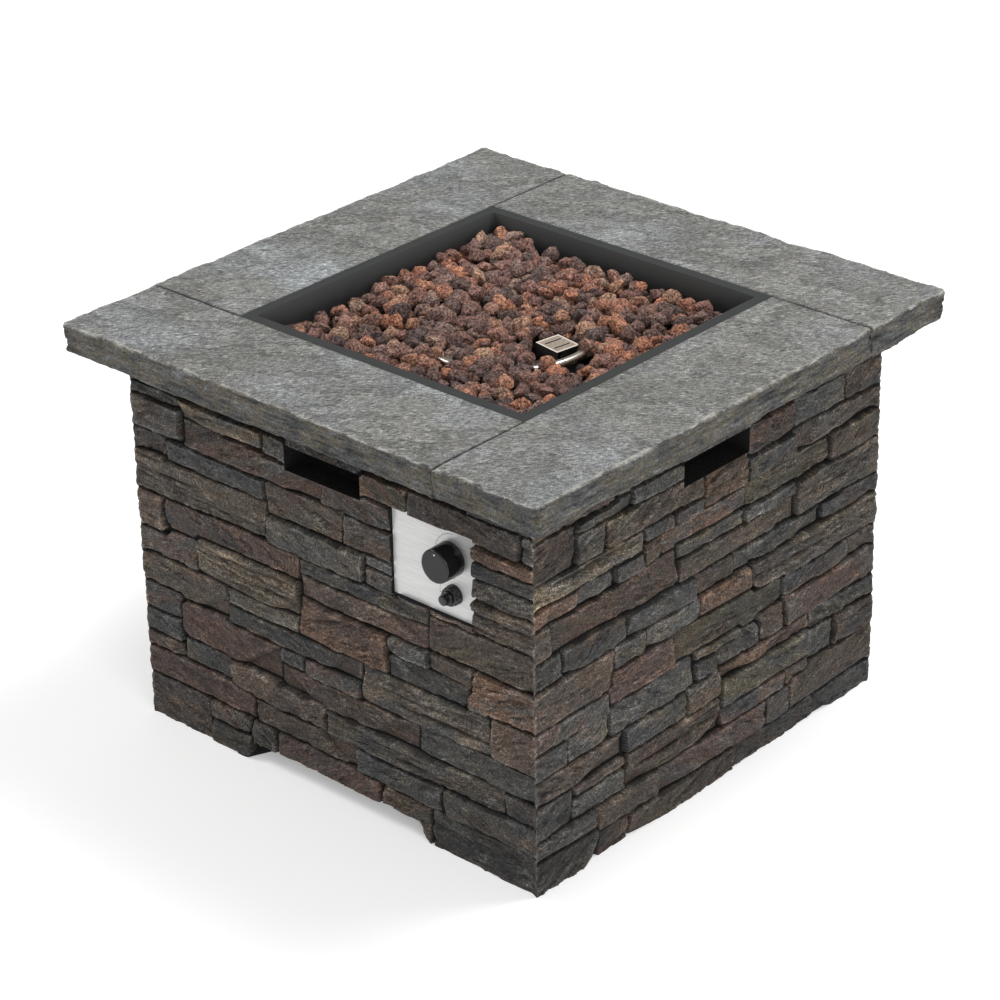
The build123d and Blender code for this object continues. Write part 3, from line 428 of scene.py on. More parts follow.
# Node trees
class NodeMaker:
    """Adds nodes to a tree; each input is given a socket or a plain value."""

    def __init__(self, tree):
        self.tree = tree

    def join(self, value, target):
        """Links a socket to an input, or sets the input to a plain value."""
        if isinstance(value, bpy.types.NodeSocket):
            self.tree.links.new(value, target)
        elif target.type == "RGBA":
            target.default_value = (*value, 1)
        else:
            target.default_value = value

    def add(self, kind, inputs=None, **settings):
        """A new node with its settings and with inputs by name or number."""
        node = self.tree.nodes.new(kind)
        for name, value in settings.items():
            setattr(node, name, value)
        for name, value in (inputs or {}).items():
            self.join(value, node.inputs[name])
        return node

    def number(self, kind, first, second=0.0):
        """One sum on two numbers."""
        return self.add("ShaderNodeMath", {0: first, 1: second}, operation=kind).outputs[0]

    def vector(self, kind, first, second):
        """One sum on two vectors."""
        return self.add("ShaderNodeVectorMath", {0: first, 1: second}, operation=kind).outputs

    def axes(self, vector):
        """X, Y and Z of a vector."""
        return self.add("ShaderNodeSeparateXYZ", {"Vector": vector}).outputs

    def spread(self, value, low, high, start=0.0, end=1.0):
        """Spreads a value that runs from start to end over low to high."""
        inputs = {"Value": value, "From Min": start, "From Max": end, "To Min": low, "To Max": high}
        return self.add("ShaderNodeMapRange", inputs).outputs["Result"]

    def seen(self, *rays):
        """1 for rays of the named kinds and 0 for others."""
        path = self.add("ShaderNodeLightPath").outputs
        share = path[rays[0]]
        for ray in rays[1:]:
            share = self.number("MAXIMUM", share, path[ray])
        return share


class Finish(NodeMaker):
    """A new material and the nodes that make its look."""

    def __init__(self, name):
        self.material = bpy.data.materials.new(name)
        self.material.use_nodes = True
        super().__init__(self.material.node_tree)
        self.shader = self.tree.nodes["Principled BSDF"]

    def dress(self, looks):
        """Gives the shader its inputs and returns the material."""
        for name, value in looks.items():
            self.join(value, self.shader.inputs[name])
        return self.material

    def place(self, kind="Object"):
        """The piece's own coordinates, or its normal."""
        return self.add("ShaderNodeTexCoord").outputs[kind]

    def stored(self, name, output="Fac"):
        """A value stored on the piece."""
        return self.add("ShaderNodeAttribute", attribute_name=name).outputs[output]

    def height(self, low, high):
        """Height on the piece, from 0 at low to 1 at high in millimetres."""
        return self.spread(self.axes(self.place())["Z"], 0.0, 1.0, low * MM, high * MM)

    def facing_up(self):
        """How far the surface faces up."""
        return self.axes(self.place("Normal"))["Z"]

    def noise(self, scale, detail, stretch=(1, 1, 1), roughness=0.6, turn=(0, 0, 0), source=None):
        """Noise on the piece's own coordinates or a source, drawn out along axes that are turned first."""
        laid = self.add("ShaderNodeMapping", {
            "Vector": source or self.place(), "Scale": stretch, "Rotation": turn}, vector_type="TEXTURE")
        texture = self.add("ShaderNodeTexNoise", {
            "Vector": laid.outputs["Vector"], "Scale": scale, "Detail": detail, "Roughness": roughness})
        return texture.outputs["Fac"]

    def cells(self, scale):
        """Cells of a grain on the piece's own coordinates: their tone and the distance to their middle."""
        grain = self.add("ShaderNodeTexVoronoi", {"Vector": self.place(), "Scale": scale}).outputs
        return grain["Color"], grain["Distance"]

    def ramp(self, source, stops):
        """Colour ramp over a source, with stops of (place, colour) or (place, grey)."""
        ramp = self.add("ShaderNodeValToRGB", {"Fac": source})
        elements = ramp.color_ramp.elements
        while len(elements) < len(stops):
            elements.new(0.5)
        for element, (place, colour) in zip(elements, stops):
            element.position = place
            element.color = (*np.broadcast_to(colour, 3), 1)
        return ramp.outputs["Color"]

    def mix(self, kind, share, first, second):
        """Mixes two colours."""
        inputs = {0: share, 6: first, 7: second}
        return self.add("ShaderNodeMix", inputs, data_type="RGBA", blend_type=kind).outputs[2]

    def tint(self, colour, *layers):
        """Multiplies a colour by ramps, each given as its source and stops."""
        for source, stops in layers:
            colour = self.mix("MULTIPLY", 1.0, colour, self.ramp(source, stops))
        return colour

    def bump(self, height, depth, strength, below=None):
        """Bump of a depth in metres from a height, over another bump where one is given."""
        inputs = {"Height": height, "Distance": depth, "Strength": strength}
        if below is not None:
            inputs["Normal"] = below
        return self.add("ShaderNodeBump", inputs).outputs["Normal"]


class Layout(NodeMaker):
    """A new geometry tree with named inputs that makes plain geometry with one finish."""

    def __init__(self, name, inputs):
        tree = bpy.data.node_groups.new(name, "GeometryNodeTree")
        tree.is_modifier = True
        for label, kind in (("Geometry", "Geometry"), *inputs, ("Finish", "Material")):
            tree.interface.new_socket(label, in_out="INPUT", socket_type="NodeSocket" + kind)
        tree.interface.new_socket("Geometry", in_out="OUTPUT", socket_type="NodeSocketGeometry")
        super().__init__(tree)
        self.given = self.add("NodeGroupInput").outputs

    def end(self, geometry):
        """Ends the tree: makes instances real and gives them their finish."""
        real = self.add("GeometryNodeRealizeInstances", {"Geometry": geometry}).outputs["Geometry"]
        dressed = self.add("GeometryNodeSetMaterial", {"Geometry": real, "Material": self.given["Finish"]})
        self.add("NodeGroupOutput", {"Geometry": dressed.outputs["Geometry"]})

    def run(self, values):
        """Runs the tree on an empty mesh and returns the plain mesh that it makes."""
        holder = bpy.data.objects.new("tree_holder", bpy.data.meshes.new("tree_holder"))
        bpy.context.scene.collection.objects.link(holder)
        modifier = holder.modifiers.new("tree", "NODES")
        modifier.node_group = self.tree
        for item in self.tree.interface.items_tree:
            if item.in_out == "INPUT" and item.name in values:
                modifier[item.identifier] = values[item.name]
        graph = bpy.context.evaluated_depsgraph_get()
        mesh = bpy.data.meshes.new_from_object(holder.evaluated_get(graph))
        bpy.data.objects.remove(holder)
        return mesh


# Materials
def plain_metal(name, colour, roughness, grain_scale):
    """Metal with a fine grain in its gloss and colour."""
    look = Finish(name)
    grain = look.noise(grain_scale, 4)
    return look.dress({
        "Metallic": 1.0,
        "Base Color": look.ramp(grain, ((0.3, scaled(colour, 0.82)), (0.7, colour))),
        "Roughness": look.spread(grain, roughness - 0.08, roughness + 0.1),
        "Normal": look.bump(grain, 0.0001, 0.3)})


def moulding(name, roughness, level, speckle):
    """Moulding in one grey with a fine texture."""
    look = Finish(name)
    texture = look.noise(speckle, 3)
    return look.dress({
        "Base Color": look.ramp(texture, ((0.3, 0.8 * level), (0.7, level))),
        "Roughness": look.spread(texture, roughness - 0.04, roughness + 0.05),
        "Normal": look.bump(texture, 0.00008, 0.25)})


def mottled(name, scale, detail, roughness, dark, light):
    """Matt finish that wavers between two colours."""
    look = Finish(name)
    texture = look.noise(scale, detail)
    return look.dress({"Base Color": look.ramp(texture, ((0.3, dark), (0.7, light))), "Roughness": roughness})


def stone_finish():
    """Ledge stone: the stored stone colours, with their painted highlights and shade, under washes, strokes,
    flakes and grain.
    """
    look = Finish("ledge_stone")
    grown = look.stored("stone_grain", "Vector")
    wash = look.noise(16, 8, (1, 1, 0.4), 0.65)
    strokes = look.noise(1, 4, (20, 1.5, 1), 0.65, source=grown)
    flakes = look.noise(1, 3, (30, 11, 1), 0.55, source=grown)
    grain = look.noise(170, 6, (1, 1, 0.6), 0.7)
    cells = look.cells(760)[0]
    colour = look.tint(
        look.stored("stone_colour", "Color"),
        (wash, ((0.35, (0.69, 0.72, 0.76)), (0.47, 0.97), (0.56, (1.13, 1.04, 0.95)),
                (0.66, (1.36, 1.22, 1.07)))),
        (strokes, ((0.34, 0.62), (0.5, 0.96), (0.60, 1.18), (0.70, 1.8))),
        # Flakes: pale lines, partly scratches, each with a dark painted shadow and a painted highlight along
        # its small bumped ledge
        (flakes, ((0.40, 1.0), (0.435, 0.70), (0.442, 1.6), (0.47, 1.0),
                  (0.535, 0.70), (0.542, 1.7), (0.57, 1.02))),
        (grain, ((0.38, 0.76), (0.62, 1.24))),
        (cells, ((0.2, 0.44), (0.5, 0.94), (0.8, 1.80))))
    ledges = look.ramp(flakes, ((0.432, 0.0), (0.444, 0.5), (0.532, 0.5), (0.544, 1.0)))
    relief = look.bump(grain, 0.0018, 0.8, look.bump(ledges, 0.0012, 0.8))
    return look.dress({
        "Base Color": colour, "Specular IOR Level": 0.35,
        "Roughness": look.ramp(grain, ((0.3, 0.58), (0.7, 0.86))),
        "Normal": look.bump(strokes, 0.0008, 0.6, relief)})


def slab_finish():
    """Cast slate: grey cleft grain on top, tan and dark patches and a pale arris, partly wear and partly
    painted highlight, at the hewn edge.
    """
    look = Finish("cast_slate")
    grey = tone("top_grey")
    strokes = {"stretch": (2.8, 1, 1), "turn": (0, 0, 0.88)}
    patch = look.noise(5.5, 6, roughness=0.65)
    cleft = look.noise(7.5, 7, (1.9, 1, 1), turn=(0, 0, 0.6))
    grain = look.noise(190, 6, roughness=0.66, **strokes)
    ripple = look.noise(420, 3, roughness=0.55, **strokes)
    speck = look.tint(
        look.ramp(look.cells(820)[0], ((0.2, 0.66), (0.5, 0.98), (0.8, 1.40))),
        (ripple, ((0.34, 0.44), (0.47, 0.91), (0.56, 1.11), (0.68, 1.84))))
    top = look.tint(
        look.ramp(patch, ((0.30, scaled(grey, 0.72)), (0.44, scaled(grey, (1.00, 0.97, 0.91))), (0.54, grey),
                          (0.68, scaled(grey, (1.36, 1.40, 1.45))))),
        # Cleft lines: a dark painted shadow beside a painted highlight at each
        (cleft, ((0.36, 0.98), (0.413, 0.70), (0.42, 1.18), (0.50, 0.98),
                 (0.553, 0.70), (0.56, 1.20), (0.66, 1.0))),
        (grain, ((0.36, 0.80), (0.46, 0.95), (0.54, 1.04), (0.66, 1.24))))
    top = look.mix("MULTIPLY", 1.0, top, speck)
    strata = look.noise(22, 8, (1, 1, 0.11), 0.68)
    stain = look.noise(24, 5, (1, 1, 0.5))
    edge = look.tint(
        look.ramp(stain, ((0.34, scaled(grey, 0.34)), (0.45, scaled(grey, 0.62)),
                          (0.53, scaled(tone("top_tan"), 1.10)), (0.61, scaled(grey, 0.80)),
                          (0.70, scaled(grey, 1.25)))),
        (strata, ((0.36, 0.30), (0.46, 0.84), (0.56, 1.06), (0.68, 1.9))))
    edge = look.mix("MULTIPLY", 0.7, edge, speck)
    surface = look.mix("MIX", look.stored("hewn"), top, edge)
    # Pale arris: partly worn chips, partly painted highlight
    surface = look.mix("MIX", look.number("MULTIPLY", look.stored("worn"), speck), surface, tone("top_wear_and_highlight"))
    # Painted shadow line, in the joint's near-black, at the seams and along the opening
    surface = look.mix("MIX", look.stored("gap"), surface, tone("joint"))
    relief = look.bump(grain, 0.0026, 0.9, look.bump(strata, 0.006, 0.8))
    return look.dress({
        "Base Color": surface, "Specular IOR Level": 0.35,
        "Roughness": look.ramp(grain, ((0.3, 0.60), (0.7, 0.82))),
        "Normal": look.bump(ripple, 0.0036, 1.0, relief)})


def lava_finish():
    """Porous lava in maroon, umber, grey and rust, one tone for each stone, with painted shade deep down in
    the bed.
    """
    look = Finish("lava_stone")
    blotch = look.noise(70, 5)
    pores = look.noise(330, 5, roughness=0.65)
    cells, reach = look.cells(380)
    colour = look.tint(
        look.ramp(look.stored("rock_tone"), (
            (0.00, (0.118, 0.084, 0.077)), (0.18, (0.165, 0.100, 0.087)), (0.36, (0.255, 0.136, 0.108)),
            (0.52, (0.200, 0.132, 0.115)), (0.66, (0.345, 0.165, 0.114)), (0.80, (0.435, 0.190, 0.114)),
            (0.90, (0.365, 0.222, 0.148)), (1.00, (0.235, 0.176, 0.152)))),
        # Painted shade: darker down in the bed, between and under the stones
        (look.height(PAN_LOW.z + LAVA_DARK, PAN_LOW.z + LAVA_LIGHT), ((0.0, 0.12), (0.6, 0.74), (1.0, 0.99))),
        (blotch, ((0.3, (0.72, 0.68, 0.68)), (0.5, 1.0), (0.72, (1.28, 1.25, 1.23)))),
        (pores, ((0.38, 0.28), (0.48, 0.92), (0.7, 1.48))),
        (cells, ((0.2, 0.48), (0.8, 1.52))),
        (reach, ((0.14, 0.22), (0.32, 1.0), (0.7, 1.1))))
    return look.dress({
        "Base Color": colour, "Roughness": 0.88, "Specular IOR Level": 0.3,
        "Normal": look.bump(pores, 0.0022, 0.9, look.bump(blotch, 0.003, 0.5))})


def hood_finish():
    """Brushed steel roof with a painted highlight along its rim, over sides painted dark as shade."""
    look = Finish("hood_steel")
    roof_place = look.add("ShaderNodeMapping", {
        "Vector": look.place(), "Location": (HOOD_X * MM, HOOD_Y * MM, 0),
        "Rotation": (0, 0, math.radians(HOOD_TURN)), "Scale": (HOOD_ROOF[0] * MM, HOOD_ROOF[1] * MM, 1),
    }, vector_type="TEXTURE")
    sides = look.axes(roof_place.outputs["Vector"])
    border = look.number("MAXIMUM", look.number("ABSOLUTE", sides["X"]), look.number("ABSOLUTE", sides["Y"]))
    # Painted highlight along the roof's rim
    rim = look.ramp(border, ((0.86, 0.0), (0.91, 1.0)))
    brushing = look.noise(240, 4, (1, 0.17, 1))
    steel = look.ramp(brushing, (
        (0.36, (0.20, 0.15, 0.115)), (0.50, (0.33, 0.265, 0.21)), (0.64, (0.50, 0.43, 0.36))))
    steel = look.mix("MIX", rim, steel, (0.80, 0.72, 0.63))
    # Sides below the roof painted near black as shade
    roof = look.number("GREATER_THAN", look.facing_up(), 0.5)
    steel = look.mix("MIX", roof, (0.030, 0.028, 0.026), steel)
    return look.dress({"Base Color": steel, "Metallic": 0.3, "Roughness": 0.5})


def pan_finish():
    """Dark powder coat, darker down in the bowl, with painted light on its upright walls."""
    look = Finish("powder_coat")
    coat = tone("pan_coat")
    smudge = look.noise(22, 5)
    dark = look.ramp(smudge, ((0.3, 0.022), (0.7, 0.038)))
    light = look.ramp(smudge, ((0.3, scaled(coat, 0.85)), (0.7, coat)))
    # Painted light: the upright walls get a lighter coat than the flange
    upright = look.number("LESS_THAN", look.facing_up(), 0.5)
    light = look.mix("MIX", upright, light, scaled(coat, 1.9))
    # Darker down in the bowl
    bowl_height_share = look.height(PAN_HIGH.z - BOWL_DARK_DEPTH, PAN_HIGH.z - BOWL_LIGHT_DEPTH)
    return look.dress({
        "Base Color": look.mix("MIX", bowl_height_share, dark, light), "Roughness": 0.62, "Specular IOR Level": 0.15,
        "Normal": look.bump(look.noise(700, 2), 0.0002, 0.4)})


def plate_finish():
    """Bright brushed plate, grain along its width."""
    look = Finish("brushed_plate")
    brush = look.noise(60, 6, (1.7, 1, 0.03), 0.7)
    return look.dress({
        "Base Color": look.ramp(brush, ((0.38, (0.63, 0.63, 0.625)), (0.62, (0.82, 0.82, 0.81)))),
        "Metallic": 0.35,
        "Roughness": look.ramp(brush, ((0.3, 0.34), (0.7, 0.5))),
        "Normal": look.bump(brush, 0.00015, 0.35)})


# Stone walls
def stone_places(chart):
    """Left, right, low and high of each charted stone in millimetres, with its tone and stand."""
    for left, right, upper, lower, *rest in chart:
        yield (CHART_LEFT + CHART_STEP * left, CHART_LEFT + CHART_STEP * right,
               CHART_TOP - CHART_STEP * lower, CHART_TOP - CHART_STEP * upper, *rest)


def wall_holes(quarter):
    """Holes through a wall as (left, right, low, high) in millimetres, the slot first."""
    slot = (-SLOT_HALF, SLOT_HALF, WALL_TOP - SLOT_LOWER, WALL_TOP - SLOT_UPPER)
    plate = (PLATE_LOW.x - PLATE_GAP, PLATE_HIGH.x + PLATE_GAP,
             PLATE_LOW.z - PLATE_GAP, PLATE_HIGH.z + PLATE_GAP)
    return [slot, plate] if quarter == FRONT else [slot]


def grid_lines(low, high, step, stops):
    """Evenly spaced lines between low and high that also pass through the stops."""
    marks = [low] + sorted(stops) + [high]
    lines = [low]
    for before, after in zip(marks, marks[1:]):
        count = max(1, round((after - before) / step))
        lines.extend(before + (after - before) * (index + 1) / count for index in range(count))
    return np.array(lines)


def stone_window(across, up, place):
    """Rows and columns of the grid that hold a stone's place and the margin round it."""
    left, right, low, high = place[:4]
    near = (across > left - STONE_MARGIN) & (across < right + STONE_MARGIN)
    near &= (up > low - STONE_MARGIN) & (up < high + STONE_MARGIN)
    rows, columns = np.flatnonzero(near.any(axis=1)), np.flatnonzero(near.any(axis=0))
    return (slice(rows[0], rows[-1] + 1), slice(columns[0], columns[-1] + 1)) if len(rows) else None


def stones_on(places, across, up, seed):
    """Number, place, part of the grid and noise seed of each stone that touches the grid."""
    for index, place in enumerate(places):
        part = stone_window(across, up, place)
        if part is not None:
            yield index, place, part, seed * 100 + index * 7


def stone_owners(places, across, up, seed):
    """Number of the stone at each place of the grid and the distance from there to its nearest joint."""
    best = np.full(across.shape, -99.0)
    second = best.copy()
    owner = np.zeros(across.shape, int)
    soft = 0.35
    for index, place, part, mark in stones_on(places, across, up, seed):
        left, right, low, high = place[:4]
        x, z = across[part], up[part]
        slant = 5.0 * (lattice(index, 3, seed) - 0.5) * (z - low) / (high - low)
        sides = (
            x - left - slant - 0.8 * noise(z / 9, z * 0, mark),
            right - x + slant - 0.8 * noise(z / 9, z * 0, mark + 1),
            z - low - 0.8 * noise(x / 40, x * 0, mark + 2) - 0.25 * noise(x / 8, x * 0, mark + 3),
            high - z - 0.8 * noise(x / 40, x * 0, mark + 4) - 0.25 * noise(x / 8, x * 0, mark + 5))
        inside = -soft * np.log(sum(np.exp(np.clip(-side / soft, -80, 80)) for side in sides))
        lead = inside > best[part]
        second[part] = np.where(lead, best[part], np.maximum(second[part], inside))
        owner[part] = np.where(lead, index, owner[part])
        best[part] = np.where(lead, inside, best[part])
    return owner, (best - second) / 2


def stone_face(x, z, place, draws, mark):
    """Height of one stone's broken face over the backing, and its grain's two directions."""
    left, right, low, high, kind, *stand = place
    wide, tall = right - left, high - low
    middle_x, middle_z = (left + right) / 2, (low + high) / 2
    lean = (draws[DRAW_LEAN] - 0.5) * 1.2
    along = x * math.cos(lean) + z * math.sin(lean)
    rise = z * math.cos(lean) - x * math.sin(lean)
    proud = STONE_STAND + STONE_PROUD * (stand[0] if stand else draws[DRAW_STAND])
    face = proud + 4 * (draws[DRAW_TILT_X] - 0.5) * (x - middle_x) / wide
    face = face + 5 * (draws[DRAW_TILT_Z] - 0.5) * (z - middle_z) / tall
    face = face + 0.9 * rough(along / 45, rise / 15, mark + 6)
    face = face + 0.3 * rough(along / 8, rise / 3.6, mark + 7, 3)
    face = face - 3.0 * np.abs(rough(along / 34, rise / 17, mark + 15, 3))
    for sheet in range(3):
        level = rough(along / (55 - 12 * sheet), rise / (15 - 3 * sheet), mark + 11 + sheet)
        drop = 0.6 + 1.2 * draws[DRAW_SHEET + sheet]
        face = face - drop * smooth(level, 0.02 + 0.12 * sheet, 0.07 + 0.12 * sheet)
    if kind in LAYERED_TONES:
        sheets = 2.6 * rough(x / 95, z / 9, mark + 8) + 2.0 * (z - low) / tall * (draws[DRAW_LAYERS] - 0.3)
        steps = np.floor(sheets * 1.7) + smooth(sheets * 1.7 % 1, 0.82, 1.0)
        face = face * 0.6 + proud * 0.4 + 3.0 * steps / 1.7
    for chip in range(3):
        turn = 2 * math.pi * lattice(chip, mark, 1.3)
        reach = 1.0 / max(abs(math.cos(turn)), abs(math.sin(turn)))
        spot_x = middle_x + wide / 2 * reach * math.cos(turn)
        spot_z = middle_z + tall / 2 * reach * math.sin(turn)
        aim = turn + 0.9 * (lattice(chip, mark, 2.7) - 0.5)
        away = -((x - spot_x) * math.cos(aim) + (z - spot_z) * math.sin(aim))
        slope = 0.16 + 0.9 * lattice(chip, mark, 4.1) ** 2
        depth = 0.3 + 4.0 * lattice(chip, mark, 5.9) ** 2
        face = np.minimum(face, proud - depth + away * slope + 0.7 * rough(x / 9, z / 6, mark + 9, 2))
    return np.maximum(face, 4.0), along, rise


def stone_paint(x, z, along, rise, kind, draws, mark):
    """Colour of one stone: its tone mingled with another, streaks along its grain and pale veins."""
    base = np.array(tone(kind))
    partner = np.array(tone(PARTNER_TONES[int(draws[DRAW_PARTNER] * len(PARTNER_TONES))]))
    mingle = 0.8 * smooth(rough(along / 42, rise / 13, mark + 10), -0.15, 0.4)[..., None]
    paint = (base * (1 - mingle) + partner * mingle) * (0.80 + 0.40 * draws[DRAW_LIGHT])
    streak = 1 + 0.28 * rough(along / 15, rise / 3.4, mark + 12, 3)
    if kind in LAYERED_TONES:
        streak = streak * (1 + 0.55 * rough(x / 60, z / 3.2, mark + 16, 2))
    vein = np.clip(1 - 9 * np.abs(rough(along / 26, rise / 9, mark + 13, 3)), 0, 1)
    vein = (vein * smooth(rough(x / 30, z / 22, mark + 14, 2), -0.2, 0.4))[..., None]
    return paint * streak[..., None] * (1 + 0.55 * vein) + 0.016 * vein


def joint_edges():
    """Distances from a joint's middle to its foot and its rim, in millimetres."""
    return size("stone_joint") * JOINT_FOOT, size("stone_joint") * JOINT_RIM


def follow_joints(across, up, edge, held):
    """Sideways shifts that bring rows of grid points to the foot and the rim of each joint."""
    foot, rim = joint_edges()
    rise_z = np.gradient(edge, axis=0) / np.gradient(up, axis=0)
    rise_x = np.gradient(edge, axis=1) / np.gradient(across, axis=1)
    slope = np.maximum(np.hypot(rise_x, rise_z), 0.25)
    kept = held | (edge > JOINT_REACH)
    target = np.where(kept, edge, np.where(edge < (foot + rim) / 2, foot, rim))
    move = np.clip(target - edge, -1, 1) / slope
    return move * rise_x, move * rise_z, target


def stone_relief(chart, across, up, held, seed):
    """Shifts of the grid's points along the face, their height, colour and place along the grain."""
    places = list(stone_places(chart))
    draws = np.random.default_rng(seed).random((len(places), DRAWS))
    owner, edge = stone_owners(places, across, up, seed)
    edge = edge + 0.2 * rough(across / 5, up / 4, seed + 3, 2)
    edge = edge - 0.9 * smooth(rough(across / 60, up / 34, seed + 5, 2), -0.1, 0.5)
    shift_x, shift_z, edge = follow_joints(across, up, edge, held)
    across, up = across + shift_x, up + shift_z
    foot, rim = joint_edges()
    height = np.zeros(across.shape)
    colour = np.zeros(across.shape + (3,))
    grain = np.zeros(across.shape + (3,))
    for index, place, part, mark in stones_on(places, across, up, seed):
        x, z = across[part], up[part]
        face, along, rise = stone_face(x, z, place, draws[index], mark)
        shoulder = (0.3 + 1.1 * draws[index, DRAW_SHOULDER]) * np.exp(-np.maximum(edge[part] - rim, 0) / 1.6)
        stone = 0.5 + np.maximum(face - shoulder - 0.5, 0.5) * smooth(edge[part], foot, rim)
        paint = stone_paint(x, z, along, rise, place[4], draws[index], mark)
        ours = owner[part] == index
        height[part][ours] = stone[ours]
        colour[part][ours] = paint[ours]
        grain[part][ours] = np.stack([along, rise, np.full(rise.shape, 9.0 * index)], axis=-1)[ours]
    return shift_x, shift_z, height, paint_relief(height, colour, edge, across, up), grain


def paint_relief(height, colour, edge, across, up):
    """Paints shade into the joints and hollows, makes the wall darker towards its foot, and lightens standing
    edges in patches, partly paler broken stone and partly painted highlight.
    """
    near = np.clip((height - blur(height, 1)) / 0.8, -1, 1)
    wide = np.clip((height - blur(height, 5)) / 4.5, -1, 1)
    raised, sunk = np.clip(near, 0, 1), np.clip(near, -1, 0)
    pale_and_highlight_patches = smooth(rough(across / 16, up / 9, 77, 3), -0.25, 0.45)
    # Lift: painted highlight on standing edges, partly paler broken stone, and painted shade in hollows
    lift = 1 + 0.6 * raised * pale_and_highlight_patches + 0.18 * np.clip(wide, 0, 1) + 0.5 * sunk + 0.45 * np.clip(wide, -1, 0)
    painted = colour * lift[..., None] + 0.035 * (raised * pale_and_highlight_patches ** 2)[..., None]
    # Pale arris down each corner: partly worn stone, partly painted highlight
    arris = smooth(np.abs(across), BACKING + ARRIS_START, BACKING + ARRIS_FULL)
    arris = (arris * smooth(rough(up / 7, up * 0, 5, 3), -0.4, 0.35))[..., None]
    painted = painted * (1 + 0.8 * arris) + 0.035 * arris
    # Darker towards the foot of the wall
    painted = painted * (0.82 + 0.18 * smooth(up, 0, 200))[..., None]
    # The joints fade to the near-black joint colour, painted shade in the gaps between the stones
    seam = smooth(edge, size("stone_joint") * DARK_FOOT, size("stone_joint") * DARK_RIM)[..., None]
    return np.array(tone("joint")) * (1 - seam) + painted * seam


def arch_edge(across):
    """Lower edge of the front wall: feet at the corners and a raised, uneven edge between them."""
    raised = smooth(across, *ARCH_RISES) * (1 - smooth(across, *ARCH_FALLS))
    return raised * (ARCH_HEIGHT + ARCH_WAVE * rough(across / 45, across * 0, 5))


def wall_grid(quarter):
    """Grid of a wall's face: its lines, its points' places along and up, and which of them stay there."""
    holes = wall_holes(quarter)
    stops_x = [side for hole in holes for side in hole[:2]]
    stops_z = [side for hole in holes for side in hole[2:]]
    lines_x = grid_lines(-BACKING, BACKING, size("stone_step"), set(stops_x))
    lines_z = grid_lines(0, WALL_TOP, size("stone_step"), set(stops_z))
    x, z = np.meshgrid(lines_x, lines_z)
    if quarter == FRONT:
        foot = arch_edge(x)
        z = np.where(z < ARCH_BEND, foot + (ARCH_BEND - foot) * z / ARCH_BEND, z)
    held = (np.abs(x) > BACKING - CORNER_HELD) | np.isin(x, stops_x)
    held |= (np.isin(lines_z, stops_z) | (lines_z < 1) | (lines_z > WALL_TOP - 1))[:, None]
    return lines_x, lines_z, x, z, held


def wall_relief(quarter, chart, grid):
    """Stone relief of a wall, level round its slot; the back's chart is read from right to left."""
    x, z, held = grid[2:]
    way = -1 if quarter == BACK else 1
    sample = way * (x + np.sign(x) * smooth(np.abs(x), BACKING - CORNER_BLEND, BACKING) * CORNER_STAND)
    shift_x, shift_z, height, paint, grain = stone_relief(chart, sample, z, held, WALL_SEED + quarter)
    left, right, low, high = wall_holes(quarter)[0]
    beside = np.maximum(np.maximum(left - x, x - right), 0)
    above = np.maximum(np.maximum(low - z, z - high), 0)
    rim = 1 - smooth(np.hypot(beside, above), 0.0, SLOT_BLEND)
    return way * shift_x, shift_z, height + (SLOT_STAND - height) * rim, paint, grain


def corner_stands(levels, grids, reliefs):
    """How far each corner stands out at the levels: close to one stand, with some of its stones and chips."""
    corners = []
    for quarter in range(4):
        after = (quarter + 1) % 4
        own_end = np.interp(levels, grids[quarter][1], reliefs[quarter][2][:, -3])
        next_end = np.interp(levels, grids[after][1], reliefs[after][2][:, 2])
        chips = 1.1 * rough(levels / 8, levels * 0, CORNER_SEED + quarter, 3) * smooth(levels, 0, 14)
        corners.append(CORNER_STAND + 0.2 * (0.5 * (own_end + next_end) - CORNER_STAND) + chips)
    return corners


def face_cells(quarter, lines_x, lines_z):
    """Point numbers of the cells of a wall's grid, without those in its holes."""
    index = np.arange(len(lines_z) * len(lines_x)).reshape(len(lines_z), len(lines_x))
    middle_x = (lines_x[:-1] + lines_x[1:]) / 2
    middle_z = (lines_z[:-1] + lines_z[1:]) / 2
    solid = np.ones((len(middle_z), len(middle_x)), bool)
    for left, right, low, high in wall_holes(quarter):
        inside_x = (middle_x > left) & (middle_x < right)
        inside_z = (middle_z > low) & (middle_z < high)
        solid &= ~(inside_z[:, None] & inside_x[None, :])
    return np.stack([index[:-1, :-1], index[:-1, 1:], index[1:, 1:], index[1:, :-1]], axis=-1)[solid]


def wall_returns(front, cells, rows, columns):
    """Points at the wall's back behind the open edges of its face, and the faces that lead to them."""
    count = rows * columns
    starts = cells.ravel()
    stops = np.roll(cells, -1, axis=1).ravel()
    lone = ~np.isin(starts * count + stops, stops * count + starts)
    starts, stops = starts[lone], stops[lone]
    used, back_index = np.unique(starts, return_inverse=True)
    row, column = used // columns, used % columns
    rim = (column == 0) | (column == columns - 1) | (row == 0) | (row == rows - 1)
    reach = np.abs(front[:, 0]).reshape(rows, columns).max(axis=1)
    back = front[used].copy()
    back[rim, 0] *= WALL_INNER / reach[row[rim]]
    back[:, 1] = -WALL_INNER
    return back, np.stack([stops, starts, count + back_index, count + np.searchsorted(used, stops)], axis=-1)


